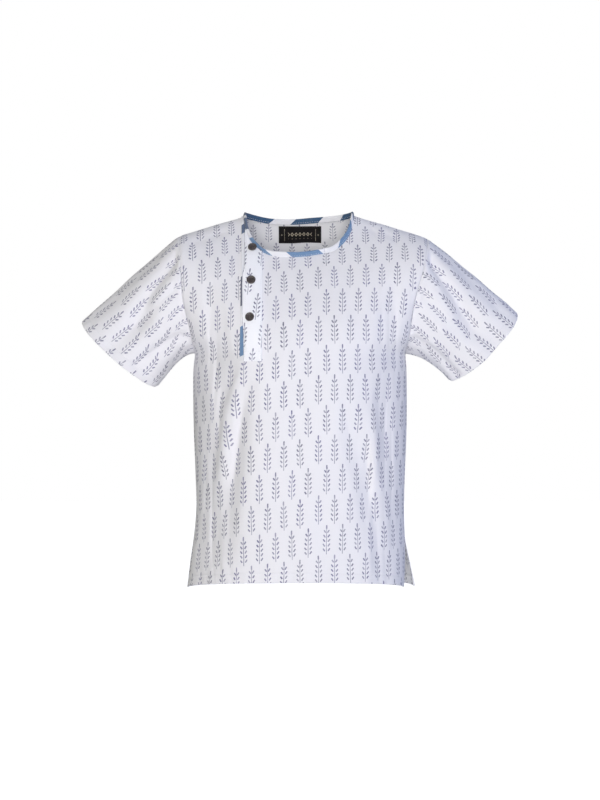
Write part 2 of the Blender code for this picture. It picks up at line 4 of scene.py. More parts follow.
import bpy
import numpy as np
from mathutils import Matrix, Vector


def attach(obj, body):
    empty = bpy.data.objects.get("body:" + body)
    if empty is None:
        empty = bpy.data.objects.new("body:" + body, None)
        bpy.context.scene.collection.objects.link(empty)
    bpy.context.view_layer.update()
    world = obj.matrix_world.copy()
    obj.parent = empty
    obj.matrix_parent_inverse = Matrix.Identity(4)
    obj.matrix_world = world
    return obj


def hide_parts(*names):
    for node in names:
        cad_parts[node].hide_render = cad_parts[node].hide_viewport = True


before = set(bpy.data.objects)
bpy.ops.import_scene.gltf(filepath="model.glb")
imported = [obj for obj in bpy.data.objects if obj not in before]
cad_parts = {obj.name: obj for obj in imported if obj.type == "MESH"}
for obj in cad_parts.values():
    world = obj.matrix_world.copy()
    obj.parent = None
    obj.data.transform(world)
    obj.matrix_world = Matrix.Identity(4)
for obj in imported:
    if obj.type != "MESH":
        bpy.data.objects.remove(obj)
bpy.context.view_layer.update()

# --- Camera and studio -------------------------------------------------------------------------------
# A long lens at the height of the garment's middle, square to its front. The studio is a pale floor
# and soft boxes: a wide one in front, a cool one on the wearer's left, two above for the sleeves' tops
# and one behind.

CAMERA_DISTANCE = 3.2
CAMERA_HEIGHT = -0.24375
VIEW_HEIGHT = 1.04
SENSOR = 36
FLOOR_HEIGHT = -0.95
FLOOR_RADIUS = 14
FLOOR_SIDES = 48
BACKDROP_WHITE = 1.0
LEFT_GLOW = (0.130, 0.122, 0.0, 1)
RIGHT_GLOW = (0.106, 0.145, 0.355, 1)


def put(name, data):
    """A new object in the scene."""
    made = bpy.data.objects.new(name, data)
    bpy.context.scene.collection.objects.link(made)
    return made


def put_mesh(name, vertices, faces, look):
    """A new mesh object of one material."""
    mesh = bpy.data.meshes.new(name)
    mesh.from_pydata(vertices, [], faces)
    mesh.materials.append(look)
    return put(name, mesh)


def soft_box(name, place, aim, size, watts, colour):
    """A square area light at a place, turned to face a point."""
    light = bpy.data.lights.new(name, "AREA")
    light.size = size
    light.energy = watts
    light.color = colour
    made = put(name, light)
    made.location = place
    made.rotation_euler = (Vector(aim) - Vector(place)).to_track_quat("-Z", "Y").to_euler()


class Value:
    """A value in a graph of nodes. Sums with it make more nodes."""

    def __init__(self, graph, socket):
        self.graph = graph
        self.socket = socket

    def do(self, operation, *others):
        return self.graph.math(operation, self, *others)

    def clamp(self):
        return self.graph.value("Clamp", {"Value": self})

    def __add__(self, other):
        return self.do("ADD", other)

    def __sub__(self, other):
        return self.do("SUBTRACT", other)

    def __rsub__(self, other):
        return self.graph.math("SUBTRACT", other, self)

    def __mul__(self, other):
        return self.do("MULTIPLY", other)

    def __truediv__(self, other):
        return self.do("DIVIDE", other)

    def __mod__(self, other):
        return self.do("FLOORED_MODULO", other)

    def __lt__(self, other):
        return self.do("LESS_THAN", other)

    def __abs__(self):
        return self.do("ABSOLUTE")


class Graph:
    """The nodes of one material or world, made by short calls."""

    def __init__(self, owner):
        owner.use_nodes = True
        self.owner = owner
        self.nodes = owner.node_tree.nodes
        self.links = owner.node_tree.links

    def feed(self, node, inputs):
        """Sets a node's inputs, each to a plain value or to a value in the graph."""
        for name, value in inputs.items():
            if isinstance(value, Value):
                self.links.new(value.socket, node.inputs[name])
            else:
                node.inputs[name].default_value = value

    def node(self, kind, inputs, **settings):
        made = self.nodes.new("ShaderNode" + kind)
        for name, setting in settings.items():
            setattr(made, name, setting)
        self.feed(made, inputs)
        return made

    def value(self, kind, inputs, output=0, **settings):
        return Value(self, self.node(kind, inputs, **settings).outputs[output])

    def math(self, operation, *values):
        return self.value("Math", dict(enumerate(values)), operation=operation)

    def mix(self, factor, a, b):
        return self.value("Mix", {"Factor": factor, "A": a, "B": b}, "Result", data_type="RGBA")

    def vector(self, x, y, z=0.0):
        return self.value("CombineXYZ", {"X": x, "Y": y, "Z": z})

    def noise(self, vector, scale, detail=2.0):
        return self.value("TexNoise", {"Vector": vector, "Scale": scale, "Detail": detail}, "Fac")

    def chance(self, vector):
        return self.value("TexWhiteNoise", {"Vector": vector}, "Value")

    def place(self, attribute):
        """Where a spot lies on the cloth, across and up in millimetres, and 1 on the cloth's inside."""
        kept = self.value("Attribute", {}, "Vector", attribute_name=attribute)
        x, y, z = [Value(self, output) for output in self.node("SeparateXYZ", {"Vector": kept}).outputs]
        return x * 1000.0, y * 1000.0, z

    def finish(self, colour, relief, roughness, sheen, strength, distance):
        """Gives a material its colour, its gloss, and a relief of some strength and height in metres."""
        bump = self.value("Bump", {"Strength": strength, "Distance": distance, "Height": relief})
        self.feed(self.nodes["Principled BSDF"], {
            "Base Color": colour, "Roughness": roughness, "Sheen Weight": sheen, "Sheen Roughness": 0.5,
            "Specular IOR Level": 0.25, "Normal": bump,
        })
        return self.owner


camera = put("camera", bpy.data.cameras.new("camera"))
camera.location = (0, -CAMERA_DISTANCE, CAMERA_HEIGHT)
camera.rotation_euler = (pi / 2, 0, 0)
camera.data.sensor_width = SENSOR
camera.data.lens = SENSOR * CAMERA_DISTANCE / VIEW_HEIGHT
bpy.context.scene.camera = camera
bpy.context.scene.view_settings.view_transform = "Standard"

soft_box("front_box", (-0.10, -3.6, -0.05), (0, 0, -0.25), 1.8, 101, (1.0, 0.984, 0.976))
soft_box("cool_box", (2.8, -0.8, 0.2), (0, 0, -0.25), 1.2, 7.5, (0.46, 0.62, 1.0))
soft_box("right_arm_box", (-1.6, 0.9, 2.0), (-0.2, 0, -0.1), 0.9, 13.5, (1.0, 0.985, 0.98))
soft_box("left_arm_box", (1.6, 0.9, 2.0), (0.2, 0, -0.1), 0.9, 13.5, (0.88, 0.93, 1.0))
soft_box("back_box", (0.4, 3.4, 0.3), (0, 0, -0.25), 1.8, 45, (1.0, 0.99, 0.98))

bpy.context.scene.world = bpy.data.worlds.new("studio")
studio = Graph(bpy.context.scene.world)
studio.nodes.clear()
sideways = studio.value("SeparateXYZ", {"Vector": studio.value("TexCoord", {}, "Generated")}, "X")
from_left = studio.value("MapRange", {"Value": sideways, "From Min": -1}, "Result")
lit = studio.value("Background", {"Color": studio.mix(from_left, LEFT_GLOW, RIGHT_GLOW)})
white = studio.value("Background", {"Color": (1, 1, 1, 1), "Strength": BACKDROP_WHITE})
seen = studio.value("LightPath", {}, "Is Camera Ray")
studio.node("OutputWorld", {"Surface": studio.value("MixShader", {0: seen, 1: lit, 2: white})})

pale = Graph(bpy.data.materials.new("pale_floor"))
pale.feed(pale.nodes["Principled BSDF"], {
    "Base Color": (0.75, 0.75, 0.75, 1), "Roughness": 0.95, "Emission Color": (1, 1, 1, 1),
    "Emission Strength": pale.value("LightPath", {}, "Is Camera Ray"),
})
turns = [2 * pi * k / FLOOR_SIDES for k in range(FLOOR_SIDES)]
rim = [(FLOOR_RADIUS * cos(turn), FLOOR_RADIUS * sin(turn), FLOOR_HEIGHT) for turn in turns]
floor = put_mesh("floor", rim, [list(range(FLOOR_SIDES))], pale.owner)

# --- Front and back panels ---------------------------------------------------------------------------
# Two panels of block-printed cotton cambric, cut alike, from the shoulder seams and neck to the hem.
# Side seams join them from the armholes to the vents, and the hems are turned up and stitched.

# The body's width and depth at some heights, and how deep the armholes' edges are.
Level = namedtuple("Level", "height left right front back armhole_front armhole_back")
LEVELS = [Level(*row) for row in (
    (-0.486, -0.1450, 0.1415, 0.1000, 0.0880, 0.000, 0.000),
    (-0.450, -0.1410, 0.1385, 0.0990, 0.0850, 0.000, 0.000),
    (-0.420, -0.1370, 0.1355, 0.0980, 0.0820, 0.000, 0.000),
    (-0.385, -0.1340, 0.1345, 0.0975, 0.0790, 0.000, 0.000),
    (-0.340, -0.1350, 0.1355, 0.0975, 0.0760, 0.000, 0.000),
    (-0.290, -0.1370, 0.1375, 0.0985, 0.0770, 0.000, 0.000),
    (-0.240, -0.1380, 0.1380, 0.0995, 0.0810, 0.000, 0.000),
    (-0.200, -0.1375, 0.1375, 0.0985, 0.0850, 0.000, 0.000),
    (-0.183, -0.1360, 0.1365, 0.0972, 0.0860, 0.000, 0.000),
    (-0.168, -0.1385, 0.1390, 0.0955, 0.0860, 0.028, 0.030),
    (-0.145, -0.1430, 0.1425, 0.0905, 0.0850, 0.042, 0.045),
    (-0.120, -0.1490, 0.1465, 0.0810, 0.0830, 0.050, 0.053),
    (-0.090, -0.1520, 0.1545, 0.0660, 0.0770, 0.053, 0.056),
    (-0.060, -0.1535, 0.1620, 0.0480, 0.0680, 0.053, 0.056),
    (-0.035, -0.1555, 0.1650, 0.0340, 0.0580, 0.050, 0.052),
    (0.000, -0.1555, 0.1650, 0.0220, 0.0460, 0.046, 0.048),
)]
SHOULDER_LINE = ((0.000, 0.0060), (0.050, 0.0010), (0.070, -0.0050), (0.085, -0.0098),
                 (0.105, -0.0155), (0.130, -0.0233), (0.156, -0.0315), (0.170, -0.0370))
NECK_LINES = {
    "front": ((-0.0735, -0.0061), (-0.0700, -0.0250), (-0.0600, -0.0450), (-0.0440, -0.0560),
              (-0.0130, -0.0603), (0.0200, -0.0575), (0.0450, -0.0510), (0.0590, -0.0375),
              (0.0665, -0.0230), (0.0700, -0.0050)),
    "back": ((-0.0735, -0.0061), (-0.0600, -0.0086), (-0.0400, -0.0120), (-0.0100, -0.0128),
             (0.0250, -0.0106), (0.0560, -0.0078), (0.0700, -0.0050)),
}
FACING = {"front": -1, "back": 1}
UNDERARM = -0.183
CHEST = -0.10
HEM_CORNER = -0.486
HEM_RISES = {"front": 0.0115, "back": 0.0060}
Vent = namedtuple("Vent", "left right out")
VENTS = {"front": Vent(-0.0005, -0.0075, 0.010), "back": Vent(0.0040, 0.0080, 0.007)}
VENT_TOP = HEM_CORNER + (UNDERARM - HEM_CORNER) * 4 / 18
SHOULDER_ROUND = 0.075
SHOULDER_STEPS = 20
SECTION_POWER = 2.4
SECTION_SQUARE = 1.9
SECTION_EASE = 0.75
SECTION_RISE = 0.10
SHOULDER_POWER = 2.2
HEM_POWER = 2.4
VENT_POWER = 1.2

# Creases: a trough (negative) or ridge between two places on a panel, with a half-width on each side,
# so that a fold can be steep on one side and soft on the other.
Crease = namedtuple("Crease", "x0 z0 x1 z1 lift left right")
CREASES = {
    "front": [Crease(*row) for row in (
        (-0.0700, -0.232, -0.0985, -0.445, -0.0080, 0.0155, 0.0115),
        (-0.0725, -0.200, -0.1045, -0.350, 0.0028, 0.0105, 0.0105),
        (-0.1130, -0.330, -0.1280, -0.486, -0.0060, 0.0120, 0.0120),
        (-0.1160, -0.105, -0.1000, -0.240, -0.0050, 0.0105, 0.0105),
        (0.0670, -0.275, 0.1030, -0.475, -0.0054, 0.0115, 0.0115),
        (0.1100, -0.215, 0.1150, -0.370, -0.0060, 0.0110, 0.0110),
        (0.0950, -0.270, 0.1080, -0.360, 0.0030, 0.0100, 0.0100),
        (0.1200, -0.100, 0.1180, -0.200, -0.0045, 0.0105, 0.0105),
        # Smaller ones, which the panels' walls are too coarse for.
        (-0.0680, -0.190, -0.0860, -0.440, 0.0030, 0.0200, 0.0400),
        (-0.0735, -0.255, -0.0850, -0.350, -0.0030, 0.0045, 0.0055),
        (-0.0803, -0.203, -0.1004, -0.256, -0.0035, 0.0100, 0.0040),
        (-0.1004, -0.250, -0.1104, -0.345, -0.0045, 0.0085, 0.0045),
        (0.0966, -0.232, 0.1029, -0.292, -0.0035, 0.0045, 0.0100),
        (0.1029, -0.280, 0.1035, -0.345, -0.0040, 0.0040, 0.0090),
        (0.0922, -0.375, 0.0929, -0.478, -0.0022, 0.0030, 0.0200),
        (0.0880, -0.395, 0.0895, -0.478, 0.0032, 0.0160, 0.0200),
        (0.0841, -0.300, 0.0879, -0.372, -0.0030, 0.0050, 0.0045),
        (-0.0950, -0.026, -0.1160, -0.035, -0.0052, 0.0050, 0.0050),
        (-0.1200, -0.036, -0.1420, -0.043, -0.0050, 0.0050, 0.0050),
        (0.1070, -0.027, 0.1270, -0.038, -0.0052, 0.0050, 0.0050),
        (0.0890, -0.022, 0.1010, -0.030, -0.0042, 0.0045, 0.0045),
        (-0.1190, -0.255, -0.1150, -0.330, -0.0030, 0.0050, 0.0070),
        (-0.1080, -0.375, -0.1130, -0.452, -0.0032, 0.0045, 0.0065),
        (-0.1265, -0.225, -0.1240, -0.330, -0.0024, 0.0045, 0.0055),
        (-0.1240, -0.395, -0.1330, -0.470, -0.0022, 0.0045, 0.0060),
        (-0.0935, -0.392, -0.0985, -0.470, 0.0020, 0.0050, 0.0060),
        (-0.1010, -0.120, -0.0880, -0.205, -0.0018, 0.0070, 0.0050),
        (0.0560, -0.245, 0.0640, -0.330, -0.0016, 0.0080, 0.0060),
        (0.0890, -0.395, 0.0930, -0.470, 0.0022, 0.0055, 0.0055),
        (0.1190, -0.365, 0.1200, -0.455, -0.0030, 0.0055, 0.0045),
        (0.1260, -0.235, 0.1275, -0.335, -0.0026, 0.0055, 0.0045),
        (0.1100, -0.430, 0.1130, -0.478, -0.0022, 0.0055, 0.0050),
        (0.1060, -0.120, 0.1010, -0.190, -0.0017, 0.0060, 0.0070),
        (-0.0150, -0.405, -0.0120, -0.474, -0.0009, 0.0140, 0.0120),
        (0.0270, -0.365, 0.0340, -0.470, -0.0010, 0.0130, 0.0110),
        (-0.0480, -0.090, -0.0300, -0.150, -0.0009, 0.0120, 0.0100),
        (0.0620, -0.075, 0.0700, -0.150, -0.0011, 0.0100, 0.0120),
    )],
    "back": [Crease(*row) for row in (
        (-0.0700, -0.230, -0.0880, -0.440, -0.0070, 0.0125, 0.0125),
        (0.0600, -0.210, 0.0820, -0.430, -0.0075, 0.0125, 0.0125),
        (-0.1120, -0.190, -0.1060, -0.400, -0.0055, 0.0115, 0.0115),
        (0.1080, -0.240, 0.1160, -0.480, -0.0060, 0.0115, 0.0115),
        (-0.0050, -0.300, 0.0080, -0.470, -0.0050, 0.0140, 0.0140),
        (-0.1050, -0.100, -0.0500, -0.150, -0.0045, 0.0125, 0.0125),
        (0.1080, -0.095, 0.0520, -0.140, -0.0045, 0.0125, 0.0125),
        # Smaller ones, which the panels' walls are too coarse for.
        (-0.0400, -0.180, -0.0330, -0.330, -0.0016, 0.0110, 0.0080),
        (0.0290, -0.235, 0.0380, -0.420, -0.0018, 0.0080, 0.0110),
        (-0.1260, -0.270, -0.1280, -0.380, -0.0026, 0.0050, 0.0060),
        (-0.0920, -0.350, -0.0990, -0.465, 0.0018, 0.0060, 0.0070),
        (0.1240, -0.215, 0.1250, -0.330, -0.0028, 0.0060, 0.0045),
        (0.0960, -0.330, 0.1010, -0.470, 0.0020, 0.0070, 0.0060),
        (-0.1180, -0.120, -0.0950, -0.190, -0.0020, 0.0060, 0.0070),
        (0.1200, -0.115, 0.0990, -0.195, -0.0022, 0.0070, 0.0060),
        (-0.0120, -0.070, 0.0060, -0.170, -0.0012, 0.0110, 0.0130),
    )],
}
CREASE_FADE = 0.25
CREASE_EDGE_POWER = 8
CREASE_SHOULDER = 0.03

# Slackness: crossing waves over each panel, as rates across and up, a start and a height. Beside the
# arms, narrow hanging streaks come in and fade with the place across and the height. Over the hem, the
# stitching puckers the cloth. All of them start further on across the back.
WAVE_STARTS = {"front": 0.0, "back": 2.1}
SLACK_WAVES = ((52, 11, 0.3, 0.00035), (-31, 44, 1.7, 0.00030), (96, -25, 4.1, 0.00016),
               (17, 93, 2.9, 0.00014), (150, 48, 0.9, 0.00009), (-133, 71, 5.2, 0.00008))
STREAKS_ACROSS = ((0.0, 0.0), (0.085, 0.0), (0.094, 0.0), (0.110, 1.0), (0.120, 1.0), (0.2, 1.0))
STREAKS_UP = ((-0.50, 0.6), (-0.47, 0.9), (-0.40, 1.0), (-0.30, 1.0), (-0.20, 0.8), (-0.15, 0.5),
              (-0.12, 0.0), (-0.08, 0.0), (0.10, 0.0))
STREAK_DEPTH = 0.00150
STREAK_SHARPNESS = 1.4
PUCKER_HEIGHT = 0.00022
PUCKER_MIDDLE = 0.010
PUCKER_REACH = 0.011

# How finely the panels are divided. Rows crowd at the hem's fold and stitching, and near the shoulder.
SHOULDER_COLUMNS = 60
NECK_COLUMNS = 120
COLUMNS = NECK_COLUMNS + 2 * SHOULDER_COLUMNS
ACROSS = np.linspace(-1, 1, COLUMNS + 1)
HEM_TURN = 0.0130
HEM_STITCHES = 0.0118
HEM_ROWS = (0.0, 0.0007, 0.0018, 0.0040, 0.0066, 0.0090, 0.0108, HEM_STITCHES, 0.0126, HEM_TURN, 0.0134,
            0.0145, 0.0160)
SKIRT_ROWS = 84
ARMHOLE_ROWS = 52
ARMHOLE_SHARES = 1 - (1 - np.linspace(0, 1, ARMHOLE_ROWS + 1)) ** 1.5
FINE = 301
SECTIONS = 90
FLAT_ROWS = 320
FLAT_COLUMNS = 361
FLAT_TOP = 0.008
VENT_COLUMNS = 4
VENT_BAR = 0.004

# The wall: its skins' distances from the panel's middle surface.
OUTER = 0.00075
INNER = 0.00005
SEAM_OUTER = 0.00015
SEAM_INNER = -0.00050
SEAM_DITCH = 0.0022
HEM_INNER = -0.00110
TURNED_BLEND = 0.0004
STITCH_DITCH = 0.00035
STITCH_DITCH_HALF = 0.0011
FOLD_ROUND = 0.00045
FOLD_REACH = 0.0007


def smooth(table, at):
    """Reads a table of (place, value) at some places, along a curve with no kinks."""
    places, values = np.array(table, float).T
    slopes = np.gradient(values, places)
    at = np.clip(np.asarray(at, float), places[0], places[-1])
    i = np.clip(np.searchsorted(places, at) - 1, 0, len(places) - 2)
    span = places[i + 1] - places[i]
    t = (at - places[i]) / span
    start = (1 + 2 * t) * (1 - t) ** 2 * values[i] + t * (1 - t) ** 2 * span * slopes[i]
    end = t * t * (3 - 2 * t) * values[i + 1] + t * t * (t - 1) * span * slopes[i + 1]
    return start + end


def level(column, height):
    """One column of the body's levels at some height."""
    return smooth([(row.height, getattr(row, column)) for row in LEVELS], height)


def unit(vectors):
    return vectors / np.linalg.norm(vectors, axis=-1, keepdims=True)


def line_lengths(points, axis=0):
    """How far along its line each point is, in one line of points or in each line of a grid."""
    steps = np.linalg.norm(np.diff(points, axis=axis), axis=-1)
    pad = [(0, 0)] * steps.ndim
    pad[axis] = (1, 0)
    return np.cumsum(np.pad(steps, pad), axis=axis)


def read_line(points, lengths, at):
    """The points of a line at some of its lengths."""
    return np.stack([np.interp(at, lengths, axis) for axis in points.T], axis=-1)


def along_line(points, shares):
    """The points of a line at some shares of its length."""
    points = np.asarray(points, float)
    lengths = line_lengths(points)
    return read_line(points, lengths, np.asarray(shares) * lengths[-1])


def curve_through(points, count):
    """A smooth curve through a few points, spread evenly."""
    points = np.asarray(points, float)
    knots = line_lengths(points)
    fine = np.linspace(0, knots[-1], FINE)
    curve = np.stack([smooth(list(zip(knots, axis)), fine) for axis in points.T], axis=1)
    return along_line(curve, np.linspace(0, 1, count + 1))


def vent_opening(height):
    """0 at the top of the side vents and above it, 1 at the hem."""
    return np.clip((VENT_TOP - height) / (VENT_TOP - HEM_CORNER), 0, 1) ** VENT_POWER


def edge_x(panel, side, height):
    """Where a panel's edge is, at the side seam, the vent or the armhole."""
    column = "left" if side < 0 else "right"
    return level(column, height) + getattr(VENTS[panel], column) * vent_opening(height)


def half_width(panel, x, height):
    """How far a panel's edge is from its middle, on the side where x lies."""
    return np.where(x < 0, -edge_x(panel, -1, height), edge_x(panel, 1, height))


def depth(panel, x, height):
    """How far a panel stands out from the shoulder's plane, at x and a height."""
    out = np.clip(np.abs(x) / half_width(panel, x, height), 0, 1)
    edge = level("armhole_" + panel, height) + VENTS[panel].out * vent_opening(height)
    rise = np.clip((height - UNDERARM) / SECTION_RISE, 0, 1)
    turn = 1 / (SECTION_SQUARE - SECTION_EASE * rise)
    body = edge + (level(panel, height) - edge) * (1 - out ** SECTION_POWER) ** turn
    below = smooth(SHOULDER_LINE, np.abs(x)) - height
    near = np.clip(1 - below / SHOULDER_ROUND, 0, 1)
    return body * np.sqrt(1 - near ** SHOULDER_POWER)


def section_x(panel, across, height):
    """The x of places across a panel, -1 to 1, measured along the cloth at a height."""
    fine = np.sin(np.linspace(-pi / 2, pi / 2, FINE))
    xs = fine * half_width(panel, fine, height)
    along = line_lengths(np.stack([xs, depth(panel, xs, height)], axis=1))
    middle = np.interp(0, xs, along)
    return np.interp(middle + across * np.where(across < 0, middle, along[-1] - middle), along, xs)


def shoulder_point(side):
    """The top of an armhole as (x, z): where its edge meets the shoulder line."""
    # Each depends on the other, so they are found by steps from a height near the line.
    height = SHOULDER_LINE[-1][1]
    for _ in range(SHOULDER_STEPS):
        x = edge_x("front", side, height)
        height = float(smooth(SHOULDER_LINE, abs(x)))
    return np.array([x, height])


def armhole(panel, side):
    """A panel's armhole edge as (x, z), up from the underarm."""
    top = shoulder_point(side)[1]
    heights = UNDERARM + (top - UNDERARM) * (1 - np.cos(np.linspace(0, pi / 2, FINE)))
    xs = edge_x(panel, side, heights)
    line = np.stack([xs, depth(panel, xs, heights), heights], axis=1)
    return along_line(line, ARMHOLE_SHARES)[:, [0, 2]]


def top_edge(panel):
    """A panel's top edge as (x, z): one shoulder seam, the neck, the other shoulder seam."""
    neck = curve_through(NECK_LINES[panel], NECK_COLUMNS)
    neck[[0, -1], 1] = smooth(SHOULDER_LINE, np.abs(neck[[0, -1], 0]))
    parts = []
    for side, neck_end in ((-1, neck[0]), (1, neck[-1])):
        xs = np.linspace(shoulder_point(side)[0], neck_end[0], FINE)
        line = np.stack([xs, smooth(SHOULDER_LINE, np.abs(xs))], axis=1)
        parts.append(along_line(line, np.linspace(0, 1, SHOULDER_COLUMNS + 1)))
    return np.concatenate([parts[0][:-1], neck, parts[1][::-1][1:]])


def crease_lift(panel, x, height):
    """How far the creases move a place on a panel outwards."""
    lift = np.zeros_like(x)
    for crease in CREASES[panel]:
        line = np.array([crease.x1 - crease.x0, crease.z1 - crease.z0])
        to = np.stack([x - crease.x0, height - crease.z0], axis=-1)
        along = (to @ line) / (line @ line)
        aside = to - np.clip(along, 0, 1)[..., None] * line
        width = np.where(aside[..., 0] < 0, crease.left, crease.right)
        ends = np.clip(np.minimum(along, 1 - along) / (2 * CREASE_FADE) + 0.5, 0, 1)
        lift += crease.lift * np.exp(-(np.linalg.norm(aside, axis=-1) / width) ** 2) * ends
    return lift


def slack(panel, x, height):
    """The small unevenness of washed cloth: waves, hanging streaks, and puckers over the hem."""
    turn = WAVE_STARTS[panel]
    lift = sum(size * np.sin(a * x + b * height + c + turn) for a, b, c, size in SLACK_WAVES)
    wave = np.sin(690 * x + 2.4 * np.sin(13 * height + turn) + 0.6 * np.sin(41 * height) + 1.1 + turn)
    depths = 0.60 + 0.40 * np.sin(31 * height + 160 * x + turn)
    there = smooth(STREAKS_ACROSS, np.abs(x)) * smooth(STREAKS_UP, height)
    lift = lift - STREAK_DEPTH * np.exp(STREAK_SHARPNESS * (wave - 1)) * depths * there
    over_hem = (height - HEM_CORNER - PUCKER_MIDDLE) / PUCKER_REACH
    puckers = np.sin(640 * x + 3.1 * np.sin(57 * x + turn) + turn) * np.exp(-over_hem ** 2)
    return lift + PUCKER_HEIGHT * puckers


def front_and_back(panel, x, height):
    """The y of a place on the middle surface of the front or the back."""
    inside = 1 - np.clip(np.abs(x) / half_width(panel, x, height), 0, 1) ** CREASE_EDGE_POWER
    inside = inside * np.clip((smooth(SHOULDER_LINE, np.abs(x)) - height) / CREASE_SHOULDER, 0, 1)
    lift = (crease_lift(panel, x, height) + slack(panel, x, height)) * inside
    return FACING[panel] * (depth(panel, x, height) + lift)


def panel_surface(panel):
    """The middle surface of a panel: rows from hem to top, columns from the wearer's right to left."""
    plan = np.zeros((SKIRT_ROWS + ARMHOLE_ROWS + 1, COLUMNS + 1, 2))
    heights = np.linspace(HEM_CORNER, UNDERARM, SECTIONS)
    sections = np.array([section_x(panel, ACROSS, height) for height in heights])
    hem = HEM_CORNER + HEM_RISES[panel] * (1 - np.abs(ACROSS) ** HEM_POWER)
    above = np.linspace(0, 1, SKIRT_ROWS - len(HEM_ROWS) + 2)[1:]
    for column, low in enumerate(hem):
        turned = low + np.array(HEM_ROWS)
        column_heights = np.concatenate([turned, turned[-1] + (UNDERARM - turned[-1]) * above])
        plan[:SKIRT_ROWS + 1, column, 0] = np.interp(column_heights, heights, sections[:, column])
        plan[:SKIRT_ROWS + 1, column, 1] = column_heights
    low, high = plan[SKIRT_ROWS], top_edge(panel)
    left, right = armhole(panel, -1), armhole(panel, 1)
    s = ((ACROSS + 1) / 2)[:, None]
    for row in range(1, ARMHOLE_ROWS + 1):
        t = ARMHOLE_SHARES[row]
        corners = (1 - s) * ((1 - t) * low[0] + t * high[0]) + s * ((1 - t) * low[-1] + t * high[-1])
        plan[SKIRT_ROWS + row] = (1 - t) * low + t * high + (1 - s) * left[row] + s * right[row] - corners
    x, height = plan[..., 0], plan[..., 1]
    return np.stack([x, front_and_back(panel, x, height), height], axis=-1)


def normals_of(points, closed, outwards):
    """The unit normals of a surface of rows and columns, turned to agree with a direction."""
    if closed:
        around = np.roll(points, -1, axis=1) - np.roll(points, 1, axis=1)
    else:
        around = np.gradient(points, axis=1)
    normal = unit(np.cross(around, np.gradient(points, axis=0)))
    return normal * np.sign((normal * outwards).sum(axis=2).mean())


def read_grid(grid, columns, rows, x, z):
    """Reads a grid of even columns and rows between its values."""
    i = np.clip((x - columns[0]) / (columns[1] - columns[0]), 0, len(columns) - 1.001)
    j = np.clip((z - rows[0]) / (rows[1] - rows[0]), 0, len(rows) - 1.001)
    i0, j0 = i.astype(int), j.astype(int)
    low = grid[j0, i0] * (1 - i + i0) + grid[j0, i0 + 1] * (i - i0)
    high = grid[j0 + 1, i0] * (1 - i + i0) + grid[j0 + 1, i0 + 1] * (i - i0)
    return low * (1 - j + j0) + high * (j - j0)


def flat_cut(panel, points):
    """Where each point lay on the flat cloth: metres across from the middle and up from the hem's level."""
    heights = np.linspace(HEM_CORNER, FLAT_TOP, FLAT_ROWS)
    # The columns crowd towards the side seams, where the cloth turns away to the side.
    turns = np.linspace(-1, 1, FLAT_COLUMNS)
    turn, z = np.meshgrid(turns, heights)
    share = np.sin(turn * pi / 2)
    x = share * half_width(panel, share, z)
    # Above the chest the cloth runs straight up to the shoulder, so its width is read at the chest.
    low = np.minimum(z, CHEST)
    bulge = depth(panel, share * half_width(panel, share, low), low) + crease_lift(panel, x, low)
    across = line_lengths(np.stack([x, bulge], axis=-1), 1)
    across -= across[:, FLAT_COLUMNS // 2, None]
    bulge = depth(panel, x, z) + crease_lift(panel, x, z)
    up = line_lengths(np.stack([z, bulge], axis=-1))
    x, z = points[..., 0], points[..., 2]
    turn = np.arcsin(np.clip(x / half_width(panel, x, z), -1, 1)) * 2 / pi
    return np.stack([read_grid(grid, turns, heights, turn, z) for grid in (across, up)], axis=-1)


def seam_share(distance):
    """1 at a seam, falling to 0 past the ditch beside it."""
    return np.exp(-(distance / SEAM_DITCH) ** 2)


def wall(points, normals, seam, up):
    """A piece's two skins: drawn in at its seams and along the stitches over its hem or cuff, rounded at
    the fold, and doubled below the turned-up edge. up is how far each point is from the fold."""
    stitched = np.exp(-((up - HEM_STITCHES) / STITCH_DITCH_HALF) ** 2)
    folded = 1 - np.clip(up / FOLD_REACH, 0, 1)
    doubled = np.clip((HEM_TURN - up) / TURNED_BLEND + 0.5, 0, 1)
    outer = OUTER + (SEAM_OUTER - OUTER) * seam - STITCH_DITCH * stitched - FOLD_ROUND * folded
    inner = INNER + (SEAM_INNER - INNER) * seam
    inner = inner + (HEM_INNER - inner) * doubled
    return points + normals * outer[..., None], points + normals * inner[..., None]


# Where the parts of a shell lie in its baked picture: the skins side by side, and above them a line for
# each rim.
BAKE_MARGIN = 0.005
BAKE_SKIN = (0.49, 0.965)
BAKE_RIM_END = 0.990
BAKE_RIM_FOOT = 0.976
BAKE_RIM_STEP = 0.006
BAKE_RIM_WIDTH = 0.004


